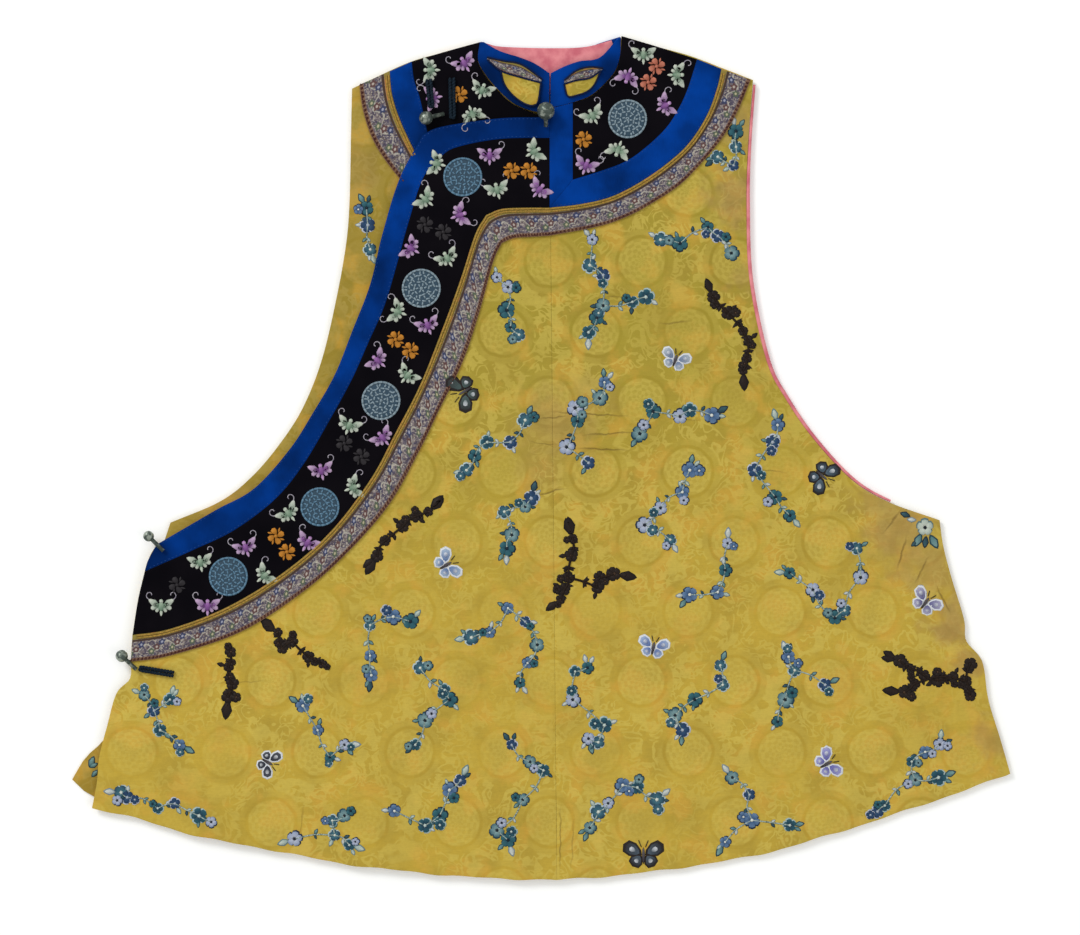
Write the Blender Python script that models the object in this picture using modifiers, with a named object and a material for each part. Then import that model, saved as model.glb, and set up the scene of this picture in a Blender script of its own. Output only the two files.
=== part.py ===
# A sleeveless silk waistcoat that fastens down one side, laid flat on its back.
#
# The panels lie on each other as they do on a table: the back is lowest, the under front
# lies on it, and the two widths of the front lie on both. Satin, bands and ribbon lie on
# the panels. +X is to the right as it is seen from above, +Y is towards the neck, and +Z
# is up. Every table of a cut has the columns x and y, in millimetres.

import math
from collections import namedtuple

import bmesh
import bpy
from mathutils import Vector
from mathutils.bvhtree import BVHTree

MM = 0.001

# Driving sizes
CLOTH = 2.0 * MM
TRIM = 1.0 * MM
COLLAR_WALL = 1.6 * MM
LINING_WALL = 0.8 * MM
GAP = 0.3 * MM
SEAT = 0.4 * MM
SEAM_TURN = 0.2 * MM

BACK_TOP = CLOTH
UNDER_TOP = BACK_TOP + GAP + CLOTH
CENTRE_X = 7.0

# The under front ends behind the centre, and the front steps down past it (mm)
UNDER_INNER_X = -14.0
STEP_END_X = 70.0
TUCK_END_X = 40.0
TUCK_START_Y = 188.0
TUCK_END_Y = 221.0

# The collar's upper edge lies at one height over the lining
COLLAR_LEVEL = 6.6 * MM
COLLAR_SWELL = 0.6 * MM
NECK_TURN = 0.9
SATIN_TURN = 0.6
COLLAR_REACH = 3.0
SATIN_FOOT_Y = 268.0

# Heights of the centre seam's ends, and of the centre band's inner corner (mm)
CENTRE_HEAD_Y = 286.0
OVERLAP_HEAD_Y = 279.0
BAND_HEAD_Y = 291.0
SEAM_FOOT = Vector((13.0, -346.0))

# How many steps the cuts are drawn in
NECK_STEPS = 14
SHOULDER_STEPS = 5
ARMHOLE_STEPS = 20
SIDE_STEPS = 9
SLIT_STEPS = 4
HEM_STEPS = 11
RISE_STEPS = 28
TOP_STEPS = 5
YOKE_STEPS = 13
SATIN_STEPS = 8
CORD_STEPS = 6
BALL_ARC = 8
BALL_SIDES = 14
CORD_RADIUS = 1.5 * MM
CORD_SPREAD = 1.9
PIPING_RADIUS = 1.0 * MM
STEM_RADIUS = 1.7 * MM

Cut = namedtuple("Cut", "x y")
Fold = namedtuple("Fold", "x y turn length width height")
Button = namedtuple("Button", "x y radius stem_x stem_y")
Cord = namedtuple("Cord", "foot_x foot_y head_x head_y")
Paint = namedtuple("Paint", "red green blue roughness metallic")

PAINTS = {
    "damask": Paint(0.43, 0.31, 0.055, 0.55, 0.0),
    "black_satin": Paint(0.006, 0.005, 0.008, 0.45, 0.0),
    "blue_satin": Paint(0.005, 0.05, 0.22, 0.42, 0.0),
    "ribbon": Paint(0.19, 0.16, 0.15, 0.55, 0.0),
    "pink_lining": Paint(0.60, 0.18, 0.20, 0.6, 0.0),
    "cord": Paint(0.01, 0.03, 0.08, 0.6, 0.0),
    "ball": Paint(0.17, 0.21, 0.19, 0.35, 0.6),
}

# Round ridges of the front's cloth, each at x and y, turned from +X by turn degrees (mm)
FOLDS = [
    Fold(x=-250, y=-262, turn=74, length=150, width=34, height=2.4),
    Fold(x=-128, y=-285, turn=86, length=130, width=30, height=1.7),
    Fold(x=72, y=-280, turn=94, length=150, width=36, height=2.2),
    Fold(x=196, y=-236, turn=106, length=170, width=34, height=2.5),
    Fold(x=302, y=-190, turn=118, length=110, width=30, height=1.8),
    Fold(x=60, y=30, turn=8, length=150, width=34, height=1.6),
    Fold(x=205, y=-40, turn=138, length=130, width=30, height=2.2),
    Fold(x=118, y=150, turn=72, length=130, width=34, height=1.6),
    Fold(x=-35, y=-120, turn=66, length=150, width=36, height=1.6),
]

# Cuts of the panels
SHOULDER_LEFT = [Cut(-155, 303), Cut(-136, 312), Cut(-107, 325), Cut(-79, 333), Cut(-50, 341)]
SHOULDER_RIGHT = [Cut(66, 346), Cut(93, 338), Cut(122, 330), Cut(151, 319), Cut(174, 310)]
NECK_LEFT = [
    Cut(-50, 341), Cut(-52, 326), Cut(-46, 314), Cut(-36, 302), Cut(-24, 291), Cut(-9, 284),
    Cut(5, 281),
]
NECK_RIGHT = [
    Cut(7, 286), Cut(24, 290), Cut(40, 296), Cut(52, 306), Cut(61, 317), Cut(65, 330),
    Cut(66, 346),
]
NECK_BACK = [Cut(-50, 341), Cut(-36, 320), Cut(7, 309), Cut(50, 321), Cut(66, 346)]
ARMHOLE_LEFT = [
    Cut(-155, 303), Cut(-156, 260), Cut(-157, 212), Cut(-160, 175), Cut(-168, 130),
    Cut(-180, 80), Cut(-196, 40), Cut(-217, 8), Cut(-239, -17), Cut(-264, -36), Cut(-304, -53),
]
ARMHOLE_RIGHT = [
    Cut(174, 310), Cut(170, 258), Cut(168.5, 210), Cut(171, 146), Cut(185, 80), Cut(201, 48),
    Cut(224, 15), Cut(255, -18), Cut(285, -36), Cut(327, -51),
]
SIDE_RIGHT = [
    Cut(327, -51), Cut(330, -72), Cut(337, -99), Cut(347, -132), Cut(349, -150),
    Cut(362, -167), Cut(367, -198), Cut(377, -231), Cut(385, -259),
]
UNDER_SIDE = [
    Cut(-304, -53), Cut(-314, -84), Cut(-325, -122), Cut(-331, -160), Cut(-341, -194),
    Cut(-351, -222), Cut(-358, -250), Cut(-362, -280),
]
UNDER_HEM = [Cut(-362, -280), Cut(-280, -302), Cut(-165, -324), Cut(-14, -337)]
BACK_SIDE_LEFT = [
    Cut(-304, -54), Cut(-313, -84), Cut(-324, -122), Cut(-331, -160), Cut(-342, -200),
    Cut(-358, -230), Cut(-374, -246), Cut(-385, -264),
]
BACK_HEM = [
    Cut(-385, -264), Cut(-371, -276), Cut(-337, -290), Cut(-280, -306), Cut(-165, -328),
    Cut(-50, -340), Cut(13, -342), Cut(122, -331), Cut(237, -305), Cut(352, -267),
    Cut(382, -257),
]
BACK_SIDE_RIGHT = [
    Cut(382, -257), Cut(374, -231), Cut(364, -198), Cut(359, -170), Cut(346, -152),
    Cut(344, -132), Cut(334, -99), Cut(327, -72), Cut(324, -52),
]
BACK_ARMHOLE_RIGHT = [
    Cut(324, -52), Cut(285, -38), Cut(255, -20), Cut(222, 15), Cut(199, 48), Cut(183, 80),
    Cut(169, 146), Cut(166.5, 210), Cut(168, 258), Cut(172, 308),
]
FLAP_SIDE = [
    Cut(-336, -167), Cut(-337, -181), Cut(-348, -193), Cut(-356, -221), Cut(-362, -245),
    Cut(-364, -266), Cut(-368, -287),
]
HEM_LEFT = [
    Cut(-368, -287), Cut(-337, -294), Cut(-280, -310), Cut(-222, -321), Cut(-165, -332),
    Cut(-107, -339), Cut(-50, -344), Cut(13, -346),
]
HEM_RIGHT = [
    Cut(13, -346), Cut(65, -342), Cut(122, -335), Cut(180, -325), Cut(237, -309),
    Cut(294, -291), Cut(352, -271), Cut(385, -259),
]

# The overlap's border: four lines, each from the side up to the corner, and on to the centre
EDGE_RISE = [
    Cut(-315, -71), Cut(-267, -43), Cut(-235, -25), Cut(-206, 7), Cut(-188, 35),
    Cut(-169, 68), Cut(-155, 103), Cut(-140, 142), Cut(-130, 183), Cut(-116, 228),
    Cut(-97, 264),
]
EDGE_TOP = [Cut(-97, 264), Cut(-82, 271), Cut(-34, 278), Cut(7, 279)]
EDGE_SIDE = [Cut(-315, -71), Cut(-322, -84), Cut(-330, -116), Cut(-335, -149), Cut(-336, -167)]
BAND_RISE = [
    Cut(-322, -93), Cut(-284, -75), Cut(-251, -59), Cut(-218, -34), Cut(-195, -6),
    Cut(-173, 31), Cut(-155, 64), Cut(-142, 93), Cut(-128, 125), Cut(-117, 162),
    Cut(-109, 191), Cut(-97, 228), Cut(-84, 245),
]
BAND_TOP = [Cut(-84, 245), Cut(-70, 254), Cut(-34, 261), Cut(7, 262)]
RIBBON_INNER_RISE = [
    Cut(-332, -145), Cut(-304, -140), Cut(-259, -123), Cut(-214, -96), Cut(-173, -61),
    Cut(-140, -18), Cut(-120, 19), Cut(-99, 60), Cut(-81, 105), Cut(-66, 146),
    Cut(-54, 183), Cut(-45, 199),
]
RIBBON_INNER_TOP = [Cut(-45, 199), Cut(-32, 204), Cut(-12, 205), Cut(7, 205)]
RIBBON_OUTER_RISE = [
    Cut(-336, -167), Cut(-304, -162), Cut(-247, -143), Cut(-198, -112), Cut(-161, -80),
    Cut(-125, -39), Cut(-99, 7), Cut(-84, 38), Cut(-64, 79), Cut(-50, 121), Cut(-39, 161),
    Cut(-32, 176),
]
RIBBON_OUTER_TOP = [Cut(-32, 176), Cut(-22, 180), Cut(-8, 181), Cut(7, 182)]

# The yoke's lines, from the centre to the shoulder
RIBBON_INNER_YOKE = [
    Cut(7, 205), Cut(32, 208), Cut(57, 214), Cut(81, 226), Cut(104, 242), Cut(122, 259),
    Cut(136, 281), Cut(144, 302), Cut(148, 319),
]
RIBBON_OUTER_YOKE = [
    Cut(7, 182), Cut(48, 190), Cut(73, 199), Cut(93, 210), Cut(114, 224), Cut(130, 240),
    Cut(143, 255), Cut(153, 269), Cut(163, 288), Cut(172, 310),
]
BAND_INNER_YOKE = [
    Cut(26, 228), Cut(48, 235), Cut(69, 243), Cut(85, 254), Cut(102, 270), Cut(112, 285),
    Cut(120, 302), Cut(128, 327),
]

# The under front's lines, from the shoulder down to where the overlap covers them
BAND_INNER_SHOULDER = [Cut(-106, 325), Cut(-104, 310), Cut(-99, 294), Cut(-92, 262)]
BAND_OUTER_SHOULDER = [Cut(-124, 317), Cut(-122, 298), Cut(-115, 276), Cut(-101, 246)]
RIBBON_OUTER_SHOULDER = [
    Cut(-149, 306), Cut(-147, 290), Cut(-143, 274), Cut(-137, 259), Cut(-127, 243),
    Cut(-112, 224),
]

# The collar's lines
COLLAR_TOP_LEFT = [Cut(-47, 341), Cut(-34, 333.5), Cut(-17, 328), Cut(-5, 323), Cut(7, 315)]
COLLAR_TOP_RIGHT = [Cut(8, 315), Cut(20, 321), Cut(32, 325), Cut(48, 328), Cut(63, 344)]
COLLAR_MEET_LEFT = Cut(6.5, 281)
COLLAR_MEET_RIGHT = Cut(7.8, 286)
COLLAR_END_RIGHT = Cut(65, 345)
COLLAR_TOP_BACK = [
    Cut(-49, 342), Cut(-34, 337.5), Cut(7, 336), Cut(36, 337), Cut(49, 341), Cut(65, 346),
]
LINING_TOP = [Cut(-43, 337.5), Cut(-30, 335.5), Cut(7, 334), Cut(36, 335), Cut(56, 339)]
LINING_BOTTOM = [Cut(-30, 300), Cut(7, 298), Cut(44, 304)]
LINING_LEFT = [Cut(-43, 337.5), Cut(-48, 327), Cut(-42, 314), Cut(-30, 300)]
LINING_RIGHT = [Cut(56, 339), Cut(61, 330), Cut(56, 316), Cut(44, 304)]
INSET_LEFT_UPPER = [Cut(-44, 328), Cut(-31, 325), Cut(-16, 322), Cut(1, 310)]
INSET_LEFT_MIDDLE = [Cut(-44, 326), Cut(-33, 317), Cut(-18, 312), Cut(0, 307)]
INSET_LEFT_LOWER = [Cut(-30, 306), Cut(-22, 296), Cut(-11, 289), Cut(-3, 290)]
INSET_RIGHT_UPPER = [Cut(19, 309), Cut(29, 317), Cut(40, 320), Cut(51, 319)]
INSET_RIGHT_MIDDLE = [Cut(19, 306), Cut(29, 309), Cut(40, 311), Cut(49, 317)]
INSET_RIGHT_LOWER = [Cut(22, 296), Cut(30, 297), Cut(38, 300), Cut(44, 306)]

# Ball buttons: the ball's centre, its radius, and the far end of its stem (mm)
BUTTONS = {
    "button_neck": Button(x=4, y=283, radius=7.2, stem_x=4, stem_y=270),
    "button_shoulder": Button(x=-94, y=278, radius=5.6, stem_x=-79, stem_y=282),
    "button_underarm": Button(x=-321, y=-64, radius=4.4, stem_x=-309, stem_y=-76),
    "button_side": Button(x=-343, y=-162, radius=5.0, stem_x=-331, stem_y=-173),
}

# Doubled cords: where each is sewn down, and where its loop turns (mm)
CORDS = {
    "cord_shoulder_loop": Cord(foot_x=-73, foot_y=311, head_x=-72.5, head_y=280),
    "cord_shoulder_tail": Cord(foot_x=-92, foot_y=310, head_x=-90, head_y=289),
    "cord_side": Cord(foot_x=-301, foot_y=-176, head_x=-325, head_y=-177),
}


def smoothstep(start, end, value):
    share = min(max((value - start) / (end - start), 0.0), 1.0)
    return share * share * (3.0 - 2.0 * share)


def fold_height(x, y):
    """How far the folds lift the front at x and y."""
    total = 0.0
    for fold in FOLDS:
        turn = math.radians(fold.turn)
        along = (x - fold.x) * math.cos(turn) + (y - fold.y) * math.sin(turn)
        across = (y - fold.y) * math.cos(turn) - (x - fold.x) * math.sin(turn)
        total += fold.height * math.exp(
            -((along / (fold.length / 2)) ** 2) - (across / fold.width) ** 2
        )
    return total * MM


def front_height(x, y):
    """The front's underside: it lies on the back, or on the under front and its satin."""
    on_under_front = 1.0 - smoothstep(UNDER_INNER_X + 4.0, STEP_END_X, x)
    on_satin = smoothstep(TUCK_START_Y, TUCK_END_Y, y)
    on_satin *= 1.0 - smoothstep(UNDER_INNER_X, TUCK_END_X, x)
    base = BACK_TOP + GAP + on_under_front * (CLOTH + GAP)
    return base + on_satin * (SEAT + TRIM) + fold_height(x, y)


def curve_points(rows, count):
    """Points at equal steps along a smooth line through the rows of a cut."""
    knots = [Vector((row.x, row.y)) for row in rows]
    knots = [2 * knots[0] - knots[1], *knots, 2 * knots[-1] - knots[-2]]
    fine = []
    steps = 16
    for before, start, end, after in zip(knots, knots[1:], knots[2:], knots[3:]):
        for step in range(steps):
            t = step / steps
            fine.append(
                0.5
                * (
                    2 * start
                    + (end - before) * t
                    + (2 * before - 5 * start + 4 * end - after) * t**2
                    + (3 * start - before - 3 * end + after) * t**3
                )
            )
    fine.append(knots[-2])
    lengths = [0.0]
    for here, there in zip(fine, fine[1:]):
        lengths.append(lengths[-1] + (there - here).length)
    points = []
    index = 0
    for number in range(count + 1):
        wanted = lengths[-1] * number / count
        while index < len(fine) - 2 and lengths[index + 1] < wanted:
            index += 1
        share = (wanted - lengths[index]) / (lengths[index + 1] - lengths[index])
        points.append(fine[index].lerp(fine[index + 1], share))
    return points


def joined(*runs):
    """One line from several that follow on."""
    points = list(runs[0])
    for run in runs[1:]:
        points.extend(run[1:])
    return points


def straight(start, end, count):
    return [start.lerp(end, number / count) for number in range(count + 1)]


def beside(points, distance):
    """The line that runs beside another, on its left hand."""
    moved = []
    for number, point in enumerate(points):
        ahead = points[min(number + 1, len(points) - 1)]
        behind = points[max(number - 1, 0)]
        along = (ahead - behind).normalized()
        moved.append(point + Vector((-along.y, along.x)) * distance)
    return moved


def material(name):
    found = bpy.data.materials.get(name)
    if found:
        return found
    paint = PAINTS[name]
    made = bpy.data.materials.new(name)
    made.use_nodes = True
    shader = made.node_tree.nodes["Principled BSDF"]
    shader.inputs["Base Color"].default_value = (paint.red, paint.green, paint.blue, 1.0)
    shader.inputs["Roughness"].default_value = paint.roughness
    shader.inputs["Metallic"].default_value = paint.metallic
    return made


def own_material(piece, paint_name):
    """Each sub-part has its own material, in the paint of its cloth."""
    made = material(paint_name).copy()
    made.name = f"{piece.name}_{paint_name}"
    piece.data.materials.append(made)


def add_object(name, data, paint_name):
    piece = bpy.data.objects.new(name, data)
    garment.objects.link(piece)
    own_material(piece, paint_name)
    return piece


def outline_panel(name, outline, bottom, thickness, paint_name):
    """A flat panel, cut to an outline."""
    curve = bpy.data.curves.new(name, "CURVE")
    curve.dimensions = "2D"
    curve.fill_mode = "BOTH"
    curve.extrude = thickness / 2
    spline = curve.splines.new("POLY")
    spline.points.add(len(outline) - 1)
    for target, point in zip(spline.points, outline):
        target.co = (point.x * MM, point.y * MM, 0.0, 1.0)
    spline.use_cyclic_u = True
    piece = add_object(name, curve, paint_name)
    piece.location.z = bottom + thickness / 2
    return piece


def patch_panel(name, top, bottom, left, right, height, thickness, paint_name):
    """A panel filled in between four edges, over the height that it lies at."""
    columns = len(top) - 1
    rows = len(left) - 1
    shape = bmesh.new()
    bmesh.ops.create_grid(shape, x_segments=columns, y_segments=rows, size=1.0)
    for vert in shape.verts:
        column = round((vert.co.x + 1.0) / 2.0 * columns)
        row = round((1.0 - vert.co.y) / 2.0 * rows)
        u = column / columns
        v = row / rows
        point = (
            (1 - v) * top[column]
            + v * bottom[column]
            + (1 - u) * left[row]
            + u * right[row]
            - (1 - u) * (1 - v) * top[0]
            - u * (1 - v) * top[-1]
            - (1 - u) * v * bottom[0]
            - u * v * bottom[-1]
        )
        vert.co = (point.x, point.y, 0.0)
    shape.normal_update()
    if sum(face.normal.z for face in shape.faces) < 0:
        bmesh.ops.reverse_faces(shape, faces=shape.faces)
    turn_in_edges(shape)
    for vert in shape.verts:
        rise = height(vert.co.x, vert.co.y)
        vert.co = (vert.co.x * MM, vert.co.y * MM, rise)
    mesh = bpy.data.meshes.new(name)
    shape.to_mesh(mesh)
    shape.free()
    mesh.shade_smooth()
    piece = add_object(name, mesh, paint_name)
    wall = piece.modifiers.new("wall", "SOLIDIFY")
    wall.thickness = thickness
    wall.offset = 1.0
    return piece


def turn_in_edges(shape):
    """Draws the outline in a little, so that neighbours at a seam stay apart."""
    moves = {}
    for edge in shape.edges:
        if not edge.is_boundary:
            continue
        along = (edge.verts[1].co - edge.verts[0].co).normalized()
        inward = Vector((-along.y, along.x, 0.0))
        middle = (edge.verts[0].co + edge.verts[1].co) / 2
        if inward.dot(edge.link_faces[0].calc_center_median() - middle) < 0:
            inward = -inward
        for vert in edge.verts:
            moves.setdefault(vert, []).append(inward)
    for vert, inwards in moves.items():
        mean = sum(inwards, Vector()) / len(inwards)
        scale = SEAM_TURN / MM / max(mean.length_squared, 0.3)
        vert.co += mean * scale


def surface_of(*panels):
    """A function that gives the height of the panels' upper side."""
    bpy.context.view_layer.update()
    graph = bpy.context.evaluated_depsgraph_get()
    trees = [BVHTree.FromObject(panel, graph) for panel in panels]
    heights = [panel.matrix_world.translation.z for panel in panels]

    def height(x, y):
        for reach in (1.2, 3.0, 6.0):
            hits = []
            for step_x, step_y in ((0, 0), (1, 0), (-1, 0), (0, 1), (0, -1)):
                above = Vector(((x + step_x * reach) * MM, (y + step_y * reach) * MM, 0.1))
                for tree, lift in zip(trees, heights):
                    place = tree.ray_cast(above, Vector((0, 0, -1)))[0]
                    if place:
                        hits.append(place.z + lift)
            if hits:
                return max(hits)
        return BACK_TOP

    return height


def seated(surface):
    """A height function for what is laid on a surface."""

    def height(x, y):
        return surface(x, y) + SEAT

    return height


def strip_panel(name, first, second, across, height, thickness, paint_name):
    """A border between two lines that have the same number of points."""
    left = straight(first[0], second[0], across)
    right = straight(first[-1], second[-1], across)
    return patch_panel(name, first, second, left, right, height, thickness, paint_name)


def make_back():
    outline = joined(
        curve_points(SHOULDER_LEFT, SHOULDER_STEPS),
        curve_points(NECK_BACK, NECK_STEPS),
        curve_points(SHOULDER_RIGHT, SHOULDER_STEPS),
        curve_points(BACK_ARMHOLE_RIGHT[::-1], ARMHOLE_STEPS),
        curve_points(BACK_SIDE_RIGHT[::-1], SIDE_STEPS),
        curve_points(BACK_HEM[::-1], 2 * HEM_STEPS),
        curve_points(BACK_SIDE_LEFT[::-1], SIDE_STEPS),
        curve_points(ARMHOLE_LEFT[::-1], ARMHOLE_STEPS)[:-1],
    )
    return outline_panel("back_panel", outline, 0.0, CLOTH, "damask")


def make_under_front():
    inner_foot = Vector((UNDER_INNER_X, UNDER_HEM[-1].y))
    inner_head = Vector((UNDER_INNER_X, CENTRE_HEAD_Y))
    neck = curve_points(NECK_LEFT, NECK_STEPS)
    neck = [point for point in neck if point.x < UNDER_INNER_X - 1.0]
    outline = joined(
        curve_points(SHOULDER_LEFT, SHOULDER_STEPS),
        neck,
        [neck[-1], inner_head],
        straight(inner_head, inner_foot, HEM_STEPS),
        curve_points(UNDER_HEM[::-1], HEM_STEPS),
        curve_points(UNDER_SIDE[::-1], SIDE_STEPS),
        curve_points(ARMHOLE_LEFT[::-1], ARMHOLE_STEPS)[:-1],
    )
    return outline_panel("under_front", outline, BACK_TOP + GAP, CLOTH, "damask")


def make_front_overlap_width():
    return patch_panel(
        "front_overlap_width",
        top=curve_points(EDGE_TOP, HEM_STEPS),
        bottom=curve_points(HEM_LEFT, HEM_STEPS),
        left=joined(
            curve_points(EDGE_RISE[::-1], ARMHOLE_STEPS - 1),
            curve_points(EDGE_SIDE, SLIT_STEPS),
            curve_points(FLAP_SIDE, SIDE_STEPS - SLIT_STEPS + 1),
        ),
        right=straight(
            Vector((CENTRE_X, OVERLAP_HEAD_Y)), SEAM_FOOT, ARMHOLE_STEPS + SIDE_STEPS
        ),
        height=front_height,
        thickness=CLOTH,
        paint_name="damask",
    )


def make_front_plain_width():
    return patch_panel(
        "front_plain_width",
        top=joined(
            curve_points(NECK_RIGHT, NECK_STEPS), curve_points(SHOULDER_RIGHT, SHOULDER_STEPS)
        ),
        bottom=curve_points(HEM_RIGHT, NECK_STEPS + SHOULDER_STEPS),
        left=straight(
            Vector((CENTRE_X, CENTRE_HEAD_Y)), SEAM_FOOT, ARMHOLE_STEPS + SIDE_STEPS
        ),
        right=joined(
            curve_points(ARMHOLE_RIGHT, ARMHOLE_STEPS), curve_points(SIDE_RIGHT, SIDE_STEPS)
        ),
        height=front_height,
        thickness=CLOTH,
        paint_name="damask",
    )


def make_overlap_border(front):
    """The satin, the blue band and the ribbon that follow the overlap's edge."""
    height = seated(surface_of(*front))
    edge, band, inner, outer = [
        joined(curve_points(rise, RISE_STEPS), curve_points(top, TOP_STEPS))
        for rise, top in (
            (EDGE_RISE, EDGE_TOP),
            (BAND_RISE, BAND_TOP),
            (RIBBON_INNER_RISE, RIBBON_INNER_TOP),
            (RIBBON_OUTER_RISE, RIBBON_OUTER_TOP),
        )
    ]
    inner_yoke = curve_points(RIBBON_INNER_YOKE, YOKE_STEPS)
    outer_yoke = curve_points(RIBBON_OUTER_YOKE, YOKE_STEPS)
    strip_panel("band_overlap", edge, band, 2, height, TRIM, "blue_satin")
    strip_panel("satin_overlap", band, inner, 4, height, TRIM, "black_satin")
    strip_panel(
        "ribbon_overlap",
        joined(inner, inner_yoke),
        joined(outer, outer_yoke),
        2,
        height,
        TRIM,
        "ribbon",
    )
    return inner_yoke


def make_yoke(front, inner_yoke):
    """The centre and yoke bands, and the satin between them and the collar."""
    height = seated(surface_of(*front))
    band_yoke = curve_points(BAND_INNER_YOKE, YOKE_STEPS)
    strip_panel("band_yoke", band_yoke, inner_yoke, 2, height, TRIM, "blue_satin")
    head = Vector((CENTRE_X, CENTRE_HEAD_Y))
    head_inner = Vector((band_yoke[0].x, BAND_HEAD_Y))
    strip_panel(
        "band_centre",
        straight(head, inner_yoke[0], TOP_STEPS),
        straight(head_inner, band_yoke[0], TOP_STEPS),
        2,
        height,
        TRIM,
        "blue_satin",
    )
    neck = [Cut(band_yoke[0].x, BAND_HEAD_Y), *NECK_RIGHT[2:]]
    shoulder = [*SHOULDER_RIGHT[:2], BAND_INNER_YOKE[-1]]
    patch_panel(
        "satin_yoke",
        top=beside(curve_points(neck, YOKE_STEPS), -SATIN_TURN),
        bottom=band_yoke,
        left=straight(head_inner, band_yoke[0], TOP_STEPS),
        right=curve_points(shoulder, TOP_STEPS),
        height=height,
        thickness=TRIM,
        paint_name="black_satin",
    )


def make_shoulder(under):
    """The satin, the band and the ribbon on the under front's shoulder."""
    height = seated(surface_of(under))
    band_inner = curve_points(BAND_INNER_SHOULDER, SATIN_STEPS)
    band_outer = curve_points(BAND_OUTER_SHOULDER, SATIN_STEPS)
    ribbon_outer = curve_points(RIBBON_OUTER_SHOULDER, SATIN_STEPS)
    strip_panel("band_shoulder", band_inner, band_outer, 2, height, TRIM, "blue_satin")
    strip_panel("ribbon_shoulder", band_outer, ribbon_outer, 2, height, TRIM, "ribbon")
    inner_x = UNDER_INNER_X - 1.0
    neck = [row for row in NECK_LEFT if row.x < inner_x - 1.0]
    neck += [Cut(inner_x, CENTRE_HEAD_Y + 1.0), Cut(inner_x, SATIN_FOOT_Y)]
    foot = [BAND_INNER_SHOULDER[-1], Cut(neck[0].x, SATIN_FOOT_Y - 4.0), neck[-1]]
    patch_panel(
        "satin_shoulder",
        top=curve_points([BAND_INNER_SHOULDER[0], *SHOULDER_LEFT[-2:]], TOP_STEPS),
        bottom=curve_points(foot, TOP_STEPS),
        left=band_inner,
        right=beside(curve_points(neck, SATIN_STEPS), -SATIN_TURN),
        height=height,
        thickness=TRIM,
        paint_name="black_satin",
    )


def make_collar(surface):
    """Two front halves that rise from the neck seam, the back, and the lining in it."""
    seam = beside(curve_points(NECK_BACK[::-1], NECK_STEPS), -NECK_TURN)
    top = curve_points(COLLAR_TOP_BACK, NECK_STEPS)
    outline_panel("collar_back", top + seam[1:-1], 0.0, COLLAR_WALL, "blue_satin")
    patch_panel(
        "neck_lining",
        top=curve_points(LINING_TOP, SATIN_STEPS),
        bottom=curve_points(LINING_BOTTOM, SATIN_STEPS),
        left=curve_points(LINING_LEFT, TOP_STEPS),
        right=curve_points(LINING_RIGHT, TOP_STEPS),
        height=lambda x, y: BACK_TOP + GAP,
        thickness=LINING_WALL,
        paint_name="pink_lining",
    )
    halves = {
        "collar_left": (COLLAR_TOP_LEFT, [*NECK_LEFT[:-1], COLLAR_MEET_LEFT]),
        "collar_right": (
            COLLAR_TOP_RIGHT,
            [COLLAR_MEET_RIGHT, *NECK_RIGHT[1:-1], COLLAR_END_RIGHT],
        ),
    }
    for name, (top_rows, seam_rows) in halves.items():
        line = curve_points(seam_rows, NECK_STEPS)
        seam = beside(line, NECK_TURN)
        beyond = zip(beside(line, -COLLAR_REACH), beside(line, -2 * COLLAR_REACH))
        feet = [
            max(surface(near.x, near.y), surface(far.x, far.y)) - COLLAR_WALL
            for near, far in beyond
        ]
        for _ in range(3):
            feet = [
                (feet[max(n - 1, 0)] + feet[n] + feet[min(n + 1, NECK_STEPS)]) / 3
                for n in range(NECK_STEPS + 1)
            ]
        top = curve_points(top_rows, NECK_STEPS)

        def height(x, y, seam=seam, feet=feet, top=top):
            place = Vector((x, y))
            to_seam = min((place - point).length for point in seam)
            to_top = min((place - point).length for point in top)
            near = min(range(len(seam)), key=lambda index: (place - seam[index]).length)
            share = to_seam / max(to_seam + to_top, 0.01)
            swell = COLLAR_SWELL * math.sin(math.pi * share)
            return feet[near] * (1.0 - share) + COLLAR_LEVEL * share + swell

        strip_panel(name, top, seam, 4, height, COLLAR_WALL, "blue_satin")


def make_insets():
    collar = surface_of(bpy.data.objects["collar_left"], bpy.data.objects["collar_right"])
    height = seated(collar)
    insets = {
        "inset_left_ribbon": (INSET_LEFT_UPPER, INSET_LEFT_MIDDLE, "ribbon"),
        "inset_left_silk": (INSET_LEFT_MIDDLE[1:], INSET_LEFT_LOWER, "damask"),
        "inset_right_ribbon": (INSET_RIGHT_UPPER, INSET_RIGHT_MIDDLE, "ribbon"),
        "inset_right_silk": (INSET_RIGHT_MIDDLE, INSET_RIGHT_LOWER, "damask"),
    }
    for name, (upper, lower, paint_name) in insets.items():
        first = curve_points(upper, SATIN_STEPS)
        second = curve_points(lower, SATIN_STEPS)
        strip_panel(name, first, second, 2, height, LINING_WALL, paint_name)


def tube(name, places, radius, paint_name):
    curve = bpy.data.curves.new(name, "CURVE")
    curve.dimensions = "3D"
    curve.bevel_depth = radius
    curve.bevel_resolution = 2
    curve.use_fill_caps = True
    spline = curve.splines.new("POLY")
    spline.points.add(len(places) - 1)
    for target, place in zip(spline.points, places):
        target.co = (*place, 1.0)
    return add_object(name, curve, paint_name)


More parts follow.
